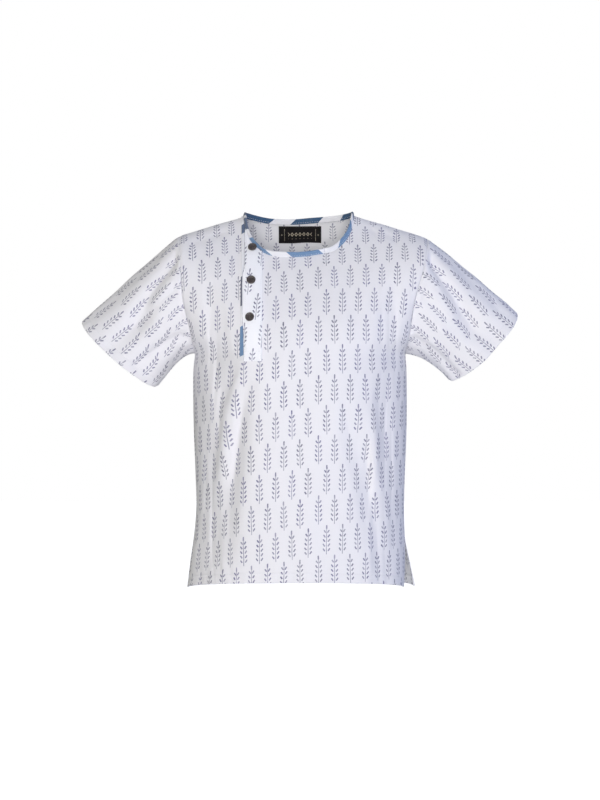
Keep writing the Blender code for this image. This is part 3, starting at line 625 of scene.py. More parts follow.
def cloth_shell(name, outer, inner, flat, printed, look):
    """A closed thin shell between two skins of rows and columns. Where flat has one more column than
    the skins, the shell is a tube. Each corner keeps its place on the flat cloth and under the blocks."""
    rows, columns = outer.shape[:2]
    wide = flat.shape[1]
    closed = wide > columns
    half = rows * columns
    down, across = np.arange(rows - 1), np.arange(wide - 1)
    r, c = [grid.ravel() for grid in np.meshgrid(down, across, indexing="ij")]
    ring = [(r, c), (r, c + 1), (r + 1, c + 1), (r + 1, c)]
    # Each part is the rows and columns of its faces' corners, the skin they are on, and the way round.
    parts = [(ring, 0, 1), (ring, half, -1)]
    # The skins are joined along the first and last rows, and on an open shell down its two sides.
    rims = [(0, across, 0, 1, 1), (rows - 1, across, 0, 1, -1)]
    if not closed:
        rims += [(down, 0, 1, 0, -1), (down, columns - 1, 1, 0, 1)]
    for r, c, below, beside, turn in rims:
        far = (r + below, c + beside)
        parts.append(([far, (r, c), (r, c), far], (0, 0, half, half), turn))
    flat_list, print_list = flat.reshape(-1, 2), printed.reshape(-1, 2)
    low, size = flat_list.min(axis=0), np.ptp(flat_list, axis=0)
    faces, flats, prints, bakes = [], [], [], []
    for number, (ring, skin, turn) in enumerate(parts):
        index = np.stack([r * columns + c % columns for r, c in ring], axis=1) + skin
        faces += index[:, ::turn].tolist()
        corner = np.stack([r * wide + c for r, c in ring], axis=1)[:, ::turn].ravel()
        side = np.full((len(corner), 1), float(number == 1))
        flats.append(np.hstack([flat_list[corner], side]))
        prints.append(np.hstack([print_list[corner], side]))
        if number < 2:
            bakes.append(BAKE_MARGIN + (flat_list[corner] - low) / size * BAKE_SKIN + (0.5 * number, 0))
        else:
            run = np.linspace(BAKE_MARGIN, BAKE_RIM_END, len(index) + 1)
            run = np.stack([run[1:], run[:-1], run[:-1], run[1:]], axis=1).ravel()
            across = np.tile((0, 0, BAKE_RIM_WIDTH, BAKE_RIM_WIDTH), len(index))
            bakes.append(np.stack([run, BAKE_RIM_FOOT + BAKE_RIM_STEP * (number - 2) + across], axis=1))
    made = put_mesh(name, np.concatenate([outer, inner]).reshape(-1, 3).tolist(), faces, look)
    made.data.shade_smooth()
    for attribute, values in (("flat", flats), ("print", prints)):
        data = made.data.attributes.new(attribute, "FLOAT_VECTOR", "CORNER").data
        data.foreach_set("vector", np.concatenate(values).astype(np.float32).ravel())
    layer = made.data.uv_layers.new(name="OFBake")
    layer.data.foreach_set("uv", np.concatenate(bakes).astype(np.float32).ravel())
    return made


# The print: rows of small leafy sprigs in violet-grey ink, each row set half a step from the last. Each
# impression of the block is nine sprigs wide, and the next is laid beside it a little too far and too
# high. Sizes are in millimetres.
SPRIG_PITCH = 20.4
SPRIG_ROW = 37.9
BLOCK_SPRIGS = 9
BLOCK_EDGES = (14.5, 19.5)
BLOCK_GAP = 2.9
BLOCK_STEP = 2.8
LEAF_FIRST = 6.2
LEAF_SPACING = 5.75
LEAF_TILT = 0.98
LEAF_OUT = 3.15
LEAF_HALF = 1.30
LEAF_RADIUS = 0.84
LEAF_NARROWING = 0.0165
LAST_PAIR = 4.0
BUD_MIDDLE = 34.8
BUD_HALF = 1.7
BUD_RADIUS = 0.90
STEM_MIDDLE = 16.6
STEM_HALF = 15.8
STEM_RADIUS = 0.42
SPRIG_LEAN = 0.05
SHIFT_ACROSS = 1.6
SHIFT_UP = 1.8
INK_EDGE = 0.32
INK_ROUGHNESS = 0.55
STEM_INK = 0.78
PRESS_LEAST = 0.72
PRESS_RANGE = 0.30
WEAVE_PITCH = 0.42
COTTON = (0.805, 0.797, 0.830, 1)
COTTON_SHADE = (0.745, 0.738, 0.768, 1)
# The inside's paler white is painted light: it stands in for light reaching the inside of the hollow garment.
INSIDE_PAINTED_LIGHT = (0.93, 0.93, 0.945, 1)
INK = (0.085, 0.078, 0.230, 1)
INK_GREY = (0.085, 0.085, 0.125, 1)
INK_PALE = (0.21, 0.20, 0.33, 1)
INSIDE_PAINTED_LIGHT_SHARE = 0.8
INK_STRENGTH = 0.94
INK_LOST_INSIDE = 0.16


def weave_of(graph, u, v):
    """The height of a plain weave at a place in millimetres, and how thick the yarns are there."""
    over = (u * (pi / WEAVE_PITCH)).do("SINE") * (v * (pi / WEAVE_PITCH)).do("SINE")
    warp = graph.noise(graph.vector(u * 2.1, v * 0.045), 1.0)
    weft = graph.noise(graph.vector(u * 0.045, v * 2.1), 1.0)
    return over, warp + weft


def capsule(across, along, half, radius):
    """The distance to a round-ended bar."""
    past = (abs(along) - half).do("MAXIMUM", 0.0)
    return (across * across + past * past).do("SQRT") - radius


def sprig_print(graph):
    """How much ink lies at each place, each sprig's own tint, and whether the place is on the wrong side."""
    a, b, wrong_side = graph.place("print")
    spot = graph.vector(a, b)
    # The cloth shifts a little under the blocks.
    a = a + (graph.noise(spot, 0.055) - 0.5) * SHIFT_ACROSS
    b = b + (graph.noise(graph.vector(b, a, 7.0), 0.050) - 0.5) * SHIFT_UP
    edge = (b / SPRIG_ROW).do("FLOOR") % 2.0 * (BLOCK_EDGES[1] - BLOCK_EDGES[0]) + BLOCK_EDGES[0]
    block = ((a - edge) / (SPRIG_PITCH * BLOCK_SPRIGS + BLOCK_GAP)).do("FLOOR") + 1.0
    a = a - block * BLOCK_GAP
    b = b - block * BLOCK_STEP
    row = (b / SPRIG_ROW).do("FLOOR")
    a = a - row % 2.0 * (SPRIG_PITCH / 2)
    column = (a / SPRIG_PITCH).do("ROUND")
    # p and q are the place within one sprig, which leans by chance.
    p = a - column * SPRIG_PITCH
    q = b - row * SPRIG_ROW
    lean = (graph.chance(graph.vector(column, row, block)) - 0.5) * SPRIG_LEAN
    p = p + lean * (q - STEM_MIDDLE)
    pair = ((q - LEAF_FIRST) / LEAF_SPACING).do("ROUND").do("MAXIMUM", 0.0).do("MINIMUM", LAST_PAIR)
    from_leaf = abs(p) - LEAF_OUT + pair.do("POWER", 3.0) * LEAF_NARROWING
    over_leaf = q - (pair * LEAF_SPACING + LEAF_FIRST)
    along = from_leaf * cos(LEAF_TILT) + over_leaf * sin(LEAF_TILT)
    aside = over_leaf * cos(LEAF_TILT) - from_leaf * sin(LEAF_TILT)
    leaf = capsule(aside, along, LEAF_HALF, LEAF_RADIUS)
    bud = capsule(p, q - BUD_MIDDLE, BUD_HALF, BUD_RADIUS)
    stem = capsule(p, q - STEM_MIDDLE, STEM_HALF, STEM_RADIUS)
    # The blocks' worn edges, their uneven pressure from leaf to leaf, and the cloth's uneven take of ink.
    rough = (graph.noise(spot, 0.9, 3.0) - 0.5) * INK_ROUGHNESS
    solid = (0.5 - (leaf.do("MINIMUM", bud) + rough) / INK_EDGE).clamp()
    line = (0.5 - (stem + rough) / INK_EDGE).clamp()
    leaf_chance = graph.chance(graph.vector(column + p.do("SIGN") * 0.25, row, pair + 0.5))
    press = leaf_chance * PRESS_RANGE + PRESS_LEAST
    ink = (solid * press).do("MAXIMUM", line * STEM_INK)
    patchy = graph.noise(spot, 0.12) * 0.9 + 0.50
    grain = graph.noise(spot, 2.2, 1.0) * 0.5 + 0.75
    tint = graph.chance(graph.vector(column, row, block + 5.0))
    return (ink * patchy * grain).clamp(), tint, wrong_side


def printed_cotton(name, plain, shade):
    """White cambric with a lavender cast, printed with sprigs that show more faintly on its wrong side; that
    side is painted paler, as painted light.
    """
    graph = Graph(bpy.data.materials.new(name))
    u, v, _ = graph.place("flat")
    over, slub = weave_of(graph, u, v)
    tone = ((slub - 1.0) * 1.4 + over * 0.10).clamp()
    ink, tint, wrong_side = sprig_print(graph)
    # The inside skin is mixed towards a paler white: painted light inside the hollow.
    cloth = graph.mix(wrong_side * INSIDE_PAINTED_LIGHT_SHARE, graph.mix(tone, plain, shade), INSIDE_PAINTED_LIGHT)
    dye = graph.mix(tint * 0.85, INK, INK_GREY)
    dye = graph.mix(graph.noise(graph.vector(u, v), 0.35) * 0.55, dye, INK_PALE)
    colour = graph.mix(ink * (INK_STRENGTH - wrong_side * INK_LOST_INSIDE), cloth, dye)
    relief = over * 0.5 + slub * 0.9
    return graph.finish(colour, relief, roughness=0.88, sheen=0.12, strength=0.35, distance=0.0001)


cotton = printed_cotton("printed_cotton", COTTON, COTTON_SHADE)

# Where the blocks were set down on each panel, and how the rows of sprigs run uphill across it.
PRINT_ORIGINS = {"front": (0.0, 0.0056), "back": (-0.0005, 0.0155)}
PRINT_SLOPES = {"front": (0.135, 0.045), "back": (-0.02, 0.03)}
PRINT_TURN = 0.0125
PRINT_CROWDED = -0.130
PRINT_CROWDING = 1.5
# Where hanging folds have pulled the sprigs out of line: a place on the front, how far it reaches
# across and up, and how much the sprigs lean there.
Lean = namedtuple("Lean", "x z reach_x reach_z lean")
PRINT_LEANS = (
    Lean(-0.1050, -0.200, 0.035, 0.150, -0.078),
    Lean(-0.0980, -0.318, 0.014, 0.060, 0.20),
    Lean(-0.1190, -0.350, 0.009, 0.040, -0.16),
    Lean(-0.1180, -0.230, 0.010, 0.040, 0.18),
    Lean(-0.0920, -0.425, 0.010, 0.040, 0.12),
    Lean(0.0860, -0.330, 0.013, 0.060, -0.13),
    Lean(0.1080, -0.400, 0.010, 0.045, 0.14),
)
# Where the wearer's right armhole has dragged the sprigs: the place, its reach, and how far they went.
Drag = namedtuple("Drag", "x z reach_x reach_z across down")
ARMHOLE_DRAG = Drag(-0.125, -0.085, 0.040, 0.050, 0.003, 0.007)


def nearness(spot, x, z):
    """1 at a spot on the front, falling to 0 past its reach."""
    return np.exp(-((x - spot.x) / spot.reach_x) ** 2 - ((z - spot.z) / spot.reach_z) ** 2)


def under_blocks(panel, flat, points):
    """The flat cloth's places in the frame of the printing blocks."""
    across = flat[..., 0] - PRINT_ORIGINS[panel][0]
    slopes = PRINT_SLOPES[panel]
    climb = np.where(across < PRINT_TURN, slopes[0], slopes[1]) * (across - PRINT_TURN)
    x, z = points[..., 0], points[..., 2]
    crowded = PRINT_CROWDING * np.clip(z - PRINT_CROWDED, 0, None) ** 2
    if panel == "front":
        for lean in PRINT_LEANS:
            across = across + lean.lean * (z - lean.z) * nearness(lean, x, z)
        across = across - ARMHOLE_DRAG.across * nearness(ARMHOLE_DRAG, x, z)
        crowded = crowded + ARMHOLE_DRAG.down * nearness(ARMHOLE_DRAG, x, z)
    return np.stack([across, flat[..., 1] - PRINT_ORIGINS[panel][1] - climb + crowded], axis=-1)


def thread(name, colour):
    """Spun sewing thread, with its twist as fine uneven ridges."""
    graph = Graph(bpy.data.materials.new(name))
    place = graph.value("TexCoord", {}, "Object")
    worn = (*[share * 0.72 for share in colour[:3]], 1)
    mixed = graph.mix(graph.noise(place, 900.0) * 0.5, colour, worn)
    relief = graph.noise(place, 4000.0)
    return graph.finish(mixed, relief, roughness=0.6, sheen=0.2, strength=0.3, distance=0.00005)


white_thread = thread("white_thread", (0.74, 0.74, 0.79, 1))
STITCH_LENGTH = 0.0025
STITCH_PITCH = 0.0031
STITCH_RADIUS = 0.00019
STITCH_SIDES = 6
STITCH_RINGS = (-1.0, -0.72, 0.0, 0.72, 1.0)
STITCH_SINK = 1.8
STITCH_FULLNESS = 1.08


def tube_faces(start, rings, sides):
    """The faces between rings of vertices that are numbered one ring after another."""
    for first in range(start, start + (rings - 1) * sides, sides):
        for side in range(sides):
            a, b = first + side, first + (side + 1) % sides
            yield b, a, a + sides, b + sides


def stitches(name, runs, look):
    """One piece of lockstitch along some runs: each is a line on a skin, and the skin's normals there."""
    vertices, faces = [], []
    turns = [2 * pi * side / STITCH_SIDES for side in range(STITCH_SIDES)]
    for line, normals in runs:
        lengths = line_lengths(line)
        count = max(int(lengths[-1] / STITCH_PITCH), 1)
        for number in range(count):
            middle = (number + 0.5) * lengths[-1] / count
            first, last = read_line(line, lengths, middle + np.array((-0.5, 0.5)) * STITCH_LENGTH)
            normal = unit(read_line(normals, lengths, middle))
            aside = np.cross(unit(last - first), normal)
            start = len(vertices)
            for ring in STITCH_RINGS:
                centre = (first + last) / 2 + (last - first) / 2 * ring
                centre = centre + normal * STITCH_RADIUS * (1 - STITCH_SINK * ring * ring)
                reach = STITCH_RADIUS * (STITCH_FULLNESS - abs(ring) ** 3)
                vertices += [centre + (aside * cos(turn) + normal * sin(turn)) * reach for turn in turns]
            end = len(vertices)
            faces += tube_faces(start, len(STITCH_RINGS), STITCH_SIDES)
            faces.append(tuple(range(start, start + STITCH_SIDES)))
            faces.append(tuple(range(end - 1, end - STITCH_SIDES - 1, -1)))
    made = put_mesh(name, [tuple(vertex) for vertex in vertices], faces, look)
    made.data.shade_smooth()
    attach(made, "root")
    return made


surfaces, facings = {}, {}
for panel, facing in FACING.items():
    points = panel_surface(panel)
    normals = normals_of(points, False, np.array((0, facing, 0)))
    surfaces[panel], facings[panel] = points, normals
    flat = flat_cut(panel, points)
    printed = under_blocks(panel, flat, points)
    along, up = line_lengths(points, 1), line_lengths(points, 0)
    from_seams = np.minimum(np.minimum(along, along[:, -1:] - along), up[-1:] - up)
    skin, inside = wall(points, normals, seam_share(from_seams), up)
    grids = [grid[:, ::-facing] for grid in (skin, inside, flat, printed)]
    piece = cloth_shell(panel + "_panel", *grids, cotton)
    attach(piece, "root")
    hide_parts(panel + "_body")
    # The hem's row of stitching, seen from both sides, and the vents' rows up and across.
    row = HEM_ROWS.index(HEM_STITCHES)
    runs = [(skin[row], normals[row]), (inside[row], -normals[row])]
    top = int(np.searchsorted(points[:, 0, 2], VENT_TOP + VENT_BAR))
    left, right = slice(VENT_COLUMNS + 1), slice(-1 - VENT_COLUMNS, None)
    for column, bar in ((VENT_COLUMNS, left), (-1 - VENT_COLUMNS, right)):
        runs.append((skin[row:top, column], normals[row:top, column]))
        runs.append((skin[top, bar], normals[top, bar]))
    sewn = stitches(panel + "_stitches", runs, white_thread)

# --- Sleeves -----------------------------------------------------------------------------------------
# Two short sleeves set into the armholes, each cut flat and seamed under the arm, with the sprigs
# running up to the shoulder. The cuffs are turned up once and stitched.

# The top and bottom of each sleeve's open end, and its depth. Then how its cloth was printed: where the
# blocks lay, and how far off the grain it was cut.
Sleeve = namedtuple("Sleeve", "side top bottom front_out half_depth shift off_grain")
SLEEVES = {
    "sleeve_right": Sleeve(-1, (-0.2820, 0.002, -0.1420), (-0.1860, 0.004, -0.2260), 0.0100, 0.0390,
                           (0.0160, 0.0570), -0.14),
    "sleeve_left": Sleeve(1, (0.2810, 0.002, -0.1310), (0.1950, 0.008, -0.2180), 0.0130, 0.0390,
                          (0.0168, 0.0720), -0.06),
}
SLEEVE_TOP_SLOPE = 36
SLEEVE_LOW_SLOPE = 7
SLEEVE_CUFF_SLOPES = (42, 50)
SLEEVE_PULLS = (0.55, 0.95)
SLEEVE_SPREAD = 0.10
SLEEVE_ROWS = 64

# Creases between two places, each an angle round the sleeve, 0 at the top and 90 at the front, and a
# share of the way along it. Then come the crease's lift and its half-width.
SLEEVE_CREASES = {
    "sleeve_right": (
        (46, 0.05, 78, 0.62, -0.0082, 0.0110),
        (86, 0.50, 82, 0.92, -0.0058, 0.0120),
        (148, 0.02, 120, 0.88, -0.0060, 0.0090),
        (300, 0.08, 272, 0.85, -0.0060, 0.0110),
        # Smaller ones, which the sleeves' walls are too coarse for.
        (84, 0.12, 88, 0.62, -0.0026, 0.0060),
        (104, 0.45, 88, 0.98, 0.0018, 0.0065),
        (22, 0.30, 28, 0.88, -0.0016, 0.0080),
        (332, 0.20, 322, 0.80, -0.0018, 0.0080),
        (262, 0.15, 246, 0.70, -0.0024, 0.0065),
        (222, 0.10, 232, 0.80, -0.0022, 0.0070),
    ),
    "sleeve_left": (
        (45, 0.05, 84, 0.66, -0.0082, 0.0105),
        (85, 0.58, 80, 0.95, -0.0055, 0.0115),
        (148, 0.05, 150, 0.90, -0.0050, 0.0090),
        (306, 0.10, 276, 0.80, -0.0060, 0.0110),
        # Smaller ones, which the sleeves' walls are too coarse for.
        (92, 0.10, 104, 0.58, -0.0026, 0.0060),
        (114, 0.40, 100, 0.96, 0.0018, 0.0060),
        (26, 0.25, 38, 0.82, -0.0017, 0.0080),
        (334, 0.25, 326, 0.85, -0.0016, 0.0085),
        (258, 0.15, 250, 0.75, -0.0025, 0.0065),
        (218, 0.10, 228, 0.75, -0.0020, 0.0070),
    ),
}
SLEEVE_CREASE_START = 0.08
# Slackness: waves, as rates along x, y and z, a start and a height.
SLEEVE_WAVES = ((58, 0, 71, 1.3, 0.00040), (83, 93, -88, 0, 0.00026), (151, 140, 0, 0.7, 0.00012),
                (0, -121, 199, 0, 0.00012))
CUFF_PUCKER = 0.0003
CUFF_REACH = 0.02


def cuff_ring(sleeve, angles):
    """The sleeve's open end at some angles, 0 at the top and a quarter turn at the front."""
    top, bottom = np.array(sleeve.top), np.array(sleeve.bottom)
    middle, up = (top + bottom) / 2, (top - bottom) / 2
    axis = unit(np.cross(up, (0, 1, 0)))
    axis *= sleeve.side * np.sign(axis[0])
    front = np.array((0, -sleeve.half_depth, 0)) + axis * sleeve.front_out
    return middle + np.outer(np.cos(angles), up) + np.outer(np.sin(angles), front)


def sleeve_surface(name, sleeve):
    """The middle surface of a sleeve: rows from armhole to cuff, columns round it from top to front."""
    column = 0 if sleeve.side < 0 else -1
    down = surfaces["front"][SKIRT_ROWS:, column][::-1]
    start = np.concatenate([down, surfaces["back"][SKIRT_ROWS:, column][1:-1]])
    angles = pi * np.concatenate([1 - ARMHOLE_SHARES[::-1], 1 + ARMHOLE_SHARES[1:-1]])
    end = cuff_ring(sleeve, angles)
    span = np.linalg.norm(end - start, axis=1)
    turned = (1 - np.array(HEM_ROWS)[::-1, None] / span).clip(0)
    above = np.linspace(0, 1, SLEEVE_ROWS - len(HEM_ROWS) + 1)[:-1, None] * turned[0]
    t = np.concatenate([above, turned])[..., None]
    low = ((1 - np.cos(angles)) / 2)[:, None]
    slope = np.radians(SLEEVE_TOP_SLOPE * (1 - low) + SLEEVE_LOW_SLOPE * low)
    leave = np.hstack([sleeve.side * np.cos(slope), -SLEEVE_SPREAD * np.sin(angles)[:, None], -np.sin(slope)])
    slope = np.radians(SLEEVE_CUFF_SLOPES[0] * (1 - low) + SLEEVE_CUFF_SLOPES[1] * low)
    arrive = np.hstack([sleeve.side * np.cos(slope), 0 * slope, -np.sin(slope)])
    start_pull = SLEEVE_PULLS[0] * (1 - low) + SLEEVE_PULLS[1] * low
    pull = t * (1 - t) ** 2 * leave * start_pull + t * t * (t - 1) * arrive * SLEEVE_PULLS[1]
    rows = (1 + 2 * t) * (1 - t) ** 2 * start + t * t * (3 - 2 * t) * end + pull * span[:, None]
    return sleeve_creased(name, rows, angles, t[..., 0])


def sleeve_creased(name, rows, angles, along):
    """A sleeve's points moved by its creases, its slackness and the puckers at its cuff."""
    outwards = rows - rows.mean(axis=1, keepdims=True)
    radius = np.linalg.norm(outwards, axis=2, keepdims=True)
    length = np.linalg.norm(rows[-1] - rows[0], axis=1).mean()
    lift = np.zeros(rows.shape[:2])
    for angle0, along0, angle1, along1, size, width in SLEEVE_CREASES[name]:
        t = np.clip((along - along0) / (along1 - along0), 0, 1)
        centre = angle0 + t * (angle1 - angle0)
        round_by = np.radians((np.degrees(angles) - centre + 180) % 360 - 180) * radius[..., 0]
        over = (along - along0 - t * (along1 - along0)) * length
        lift += size * np.exp(-(round_by ** 2 + over ** 2) / width ** 2)
    for *rates, start, size in SLEEVE_WAVES:
        lift += size * np.sin(rows @ rates + start)
    from_cuff = (1 - along) * length
    puckers = np.sin(24 * angles + 2.2 * np.sin(3 * angles)) * np.exp(-(from_cuff / CUFF_REACH) ** 2)
    lift += CUFF_PUCKER * puckers
    lift *= np.clip(along / SLEEVE_CREASE_START, 0, 1)
    return rows + outwards / radius * lift[..., None]


for name, sleeve in SLEEVES.items():
    points = sleeve_surface(name, sleeve)
    normals = normals_of(points, True, points - points.mean(axis=1, keepdims=True))
    columns = points.shape[1]
    under = columns // 2
    around = line_lengths(np.concatenate([points, points[:, :1]], axis=1), 1)
    down = line_lengths(points)
    from_cuff = down[-1:] - down
    from_seams = np.minimum(down, np.abs(around[:, :-1] - around[:, under:under + 1]))
    skin, inside = wall(points, normals, seam_share(from_seams), from_cuff)
    # The tube's columns start and end at the seam under the arm, and the middle one is at the top.
    ring = np.arange(columns + 1)
    order = (ring + under) % columns
    across = around[:, order] - np.where(ring < columns - under, around[:, -1:], 0)
    flat = np.stack([across, from_cuff[:, order]], axis=-1)[:, ::sleeve.side]
    off_grain = np.array(((cos(sleeve.off_grain), -sin(sleeve.off_grain)),
                          (sin(sleeve.off_grain), cos(sleeve.off_grain))))
    printed = (flat - sleeve.shift) @ off_grain
    order = order[::sleeve.side][:-1]
    piece = cloth_shell(name + "_cloth", skin[:, order], inside[:, order], flat, printed, cotton)
    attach(piece, "root")
    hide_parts(name)
    row = -1 - HEM_ROWS.index(HEM_STITCHES)
    cuff = ring % columns
    runs = [(skin[row, cuff], normals[row, cuff])]
    sewn = stitches(name + "_stitches", runs, white_thread)

# --- Neck binding ------------------------------------------------------------------------------------
# A bias strip of striped indigo and white cotton, folded over the neck's raw edge and stitched through
# both legs. Its ends meet where the band's edge runs up to the shoulder.

BINDING_TOP = 0.00675
BINDING_FOOT = -0.0006
BINDING_STAND = 0.65
BINDING_FOLD = 0.00102
BINDING_PINCH = 0.00046
BINDING_SKIN = 0.00027
BINDING_FILLED = 0.0022
BINDING_PUFF = 0.00010
BINDING_PUFF_PITCH = 0.0074
BINDING_SOFT = 9
BINDING_LEG_ROWS = 9
BINDING_FOLD_ROWS = 7
BINDING_STITCHES = 0.0015
BINDING_SLANT = 1.0

# The stripes in millimetres along the strip, from its end on the back, where a darker blue is painted shade.
BLUE = (0.150, 0.255, 0.420, 1)
# Painted shade: a darker blue for the stripes over the back neck, which lies in shadow inside the hollow.
BLUE_IN_PAINTED_SHADE = (0.040, 0.095, 0.185, 1)
GREY_BLUE = (0.110, 0.150, 0.235, 1)
PALE = (0.78, 0.78, 0.81, 1)
STRIPES = ((63, BLUE_IN_PAINTED_SHADE), (28, PALE), (37.5, BLUE_IN_PAINTED_SHADE), (30, PALE), (30, BLUE_IN_PAINTED_SHADE), (13, PALE),
           (38, BLUE), (36, PALE), (40, BLUE), (26, PALE), (28.5, BLUE), (14, PALE), (20, GREY_BLUE),
           (6, PALE), (19, GREY_BLUE))


def striped_cotton(name, stripes, slant):
    """Cotton with uneven stripes of indigo across a strip, at a slant to its length."""
    graph = Graph(bpy.data.materials.new(name))
    u, v, _ = graph.place("flat")
    wander = (graph.noise(graph.vector(u, v), 0.8) - 0.5) * 0.8
    whole = sum(width for width, _ in stripes)
    ramp = graph.node("ValToRGB", {"Fac": (u + v * slant + wander) / whole})
    ramp.color_ramp.interpolation = "CONSTANT"
    stops = ramp.color_ramp.elements
    start = 0
    for number, (width, colour) in enumerate(stripes):
        stop = stops[number] if number < 2 else stops.new(start / whole)
        stop.position = start / whole
        stop.color = colour
        start += width
    over, slub = weave_of(graph, u, v)
    worn = ((slub - 1.0) * 0.9 + over * 0.12).clamp()
    colour = graph.mix(worn * 0.35, Value(graph, ramp.outputs["Color"]), PALE)
    relief = over * 0.5 + slub * 0.9
    return graph.finish(colour, relief, roughness=0.85, sheen=0.15, strength=0.4, distance=0.0001)


def towards(vectors, guides):
    """Each vector, turned round where it doesn't agree with its guide."""
    return vectors * np.sign((vectors * guides).sum(axis=1))[:, None]


neck = slice(SHOULDER_COLUMNS, SHOULDER_COLUMNS + NECK_COLUMNS + 1)
neck_ring, neck_below, neck_out = [
    np.concatenate([grids["back"][row, neck], grids["front"][row, neck][::-1][1:]])
    for grids, row in ((surfaces, -1), (surfaces, -5), (facings, -1))
]
tangent = unit(np.gradient(neck_ring, axis=0))
onward = towards(np.cross(tangent, neck_out), neck_ring - neck_below)
rise = (1 - BINDING_STAND) * onward + BINDING_STAND * np.array((0, 0, 1))
soft = np.exp(-(np.arange(-BINDING_SOFT, BINDING_SOFT + 1) / (BINDING_SOFT / 2)) ** 2)
padded = np.pad(rise, ((BINDING_SOFT, BINDING_SOFT), (0, 0)), mode="edge")
rise = unit(np.stack([np.convolve(axis, soft / soft.sum(), "valid") for axis in padded.T], axis=1))
outwards = towards(np.cross(tangent, rise), neck_out)
along = line_lengths(neck_ring)
stretch = 1 + (0.00016 * np.sin(61 * along + 1.0) + 0.00012 * np.sin(143 * along)) / BINDING_TOP
outer, inner = [], []


def add_row(out, up, normal):
    """Adds a row of the strip to its skins, at a distance out from the neck's edge and up from it."""
    centre = (neck_ring.T + rise.T * (up * stretch) + outwards.T * out).T
    outer.append(centre + normal * BINDING_SKIN)
    inner.append(centre - normal * BINDING_SKIN)


def add_leg(side, heights):
    """Adds the rows of the outer leg (1) or the inner (-1), pinched by its stitches and puffed above them."""
    for up in heights:
        filled = np.clip((up - BINDING_STITCHES) / BINDING_FILLED, 0, 1) ** 0.7
        wave = np.sin(2 * pi * (along + up) / BINDING_PUFF_PITCH + 2.0 * np.sin(88 * along))
        out = BINDING_PINCH + (BINDING_FOLD - BINDING_PINCH) * filled + filled * BINDING_PUFF * wave
        add_row(side * out, up, side * outwards)


leg_top = BINDING_TOP - BINDING_FOLD - BINDING_SKIN
leg = BINDING_FOOT + (leg_top - BINDING_FOOT) * np.linspace(0, 1, BINDING_LEG_ROWS) ** 0.85
add_leg(1, leg)
for turn in np.linspace(0, pi, BINDING_FOLD_ROWS)[1:-1]:
    normal = rise * sin(turn) + outwards * cos(turn)
    add_row(BINDING_FOLD * cos(turn), leg_top + BINDING_FOLD * sin(turn), normal)
add_leg(-1, leg[::-1])
around = line_lengths(np.array(outer)).mean(axis=1)
outer, inner = np.array(outer)[:, ::-1], np.array(inner)[:, ::-1]
flat = np.stack(np.meshgrid(along, around), axis=-1)[:, ::-1]
binding_look = striped_cotton("binding_cotton", STRIPES, BINDING_SLANT)
binding = cloth_shell("folded_binding", outer, inner, flat, flat, binding_look)
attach(binding, "root")
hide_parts("neck_binding")
sewn, out = neck_ring + rise * BINDING_STITCHES, outwards * (BINDING_PINCH + BINDING_SKIN)
runs = [(sewn + out, outwards), (sewn - out, -outwards)]
binding_stitches = stitches("binding_stitches", runs, white_thread)

# --- Button band -------------------------------------------------------------------------------------
# A strip of the printed cotton, doubled and stitched flat on the front over the opening's edge, from the
# neck to a square foot. It covers the opening, which is closed behind the buttons.

BAND_LEFT = -0.0754
BAND_RIGHT = -0.0480
BAND_FOOT = -0.1950
PIPING_WIDTH = 0.0044
PIPING_COVERED = 0.0024
COVERED_MIDDLE = -0.106
COVERED_REACH = 0.040
SEAM_GAP = 0.0003
BAND_BASE = OUTER + SEAM_GAP
BAND_CLOTH = 0.0016
BAND_EDGE = 0.00045
BAND_ROUND = 0.0009
BAND_BELOW_NECK = 0.0006
BAND_COLUMNS = 44
BAND_ROWS = 132
BAND_STITCHES = 0.0016
BAND_DITCH = 0.00028
BAND_DITCH_HALF = 0.0007
BAND_RIPPLE = 0.00007
BAND_RIPPLE_PITCH = 0.0065
BAND_RIPPLE_REACH = 0.004
BAND_UNDER_LIFT = 0.0002
BAND_WAVER = 0.0002
STITCH_SUNK = 0.00022
RUN_POINTS = 120
STITCHES_BELOW_NECK = 0.002
STITCHES_ACROSS_FOOT = 0.011
ACROSS_FOOT_LIFT = 0.0002
BAND_ORIGIN = (-0.0738, -0.0765)
BAND_SHEAR = 0.077
BAND_SQUEEZE = 1.09
SLOPE_STEP = 0.0004
CROWDING = 0.88


def neck_height(x):
    """The height of the front's neck edge at x, on the wearer's right."""
    edge = surfaces["front"][-1, :COLUMNS // 2 + 1]
    return np.interp(x, edge[:, 0], edge[:, 2])


def on_panel(panel, x, height, out):
    """Places on a panel, moved out from its middle surface, and the panel's normals there."""

    def slope(step_x, step_z):
        ahead = front_and_back(panel, x + step_x, height + step_z)
        return (ahead - front_and_back(panel, x - step_x, height - step_z)) / (2 * SLOPE_STEP)

    normal = np.stack([-slope(SLOPE_STEP, 0), np.ones_like(x), -slope(0, SLOPE_STEP)], axis=-1)
    normal = FACING[panel] * unit(normal)
    middle = np.stack([x, front_and_back(panel, x, height), height], axis=-1)
    return middle + normal * np.asarray(out)[..., None], normal


def crowded(count):
    """Shares from 0 to 1 that crowd at both ends, for a folded edge."""
    even = np.linspace(0, 1, count + 1)
    return even - CROWDING * np.sin(2 * pi * even) / (2 * pi)


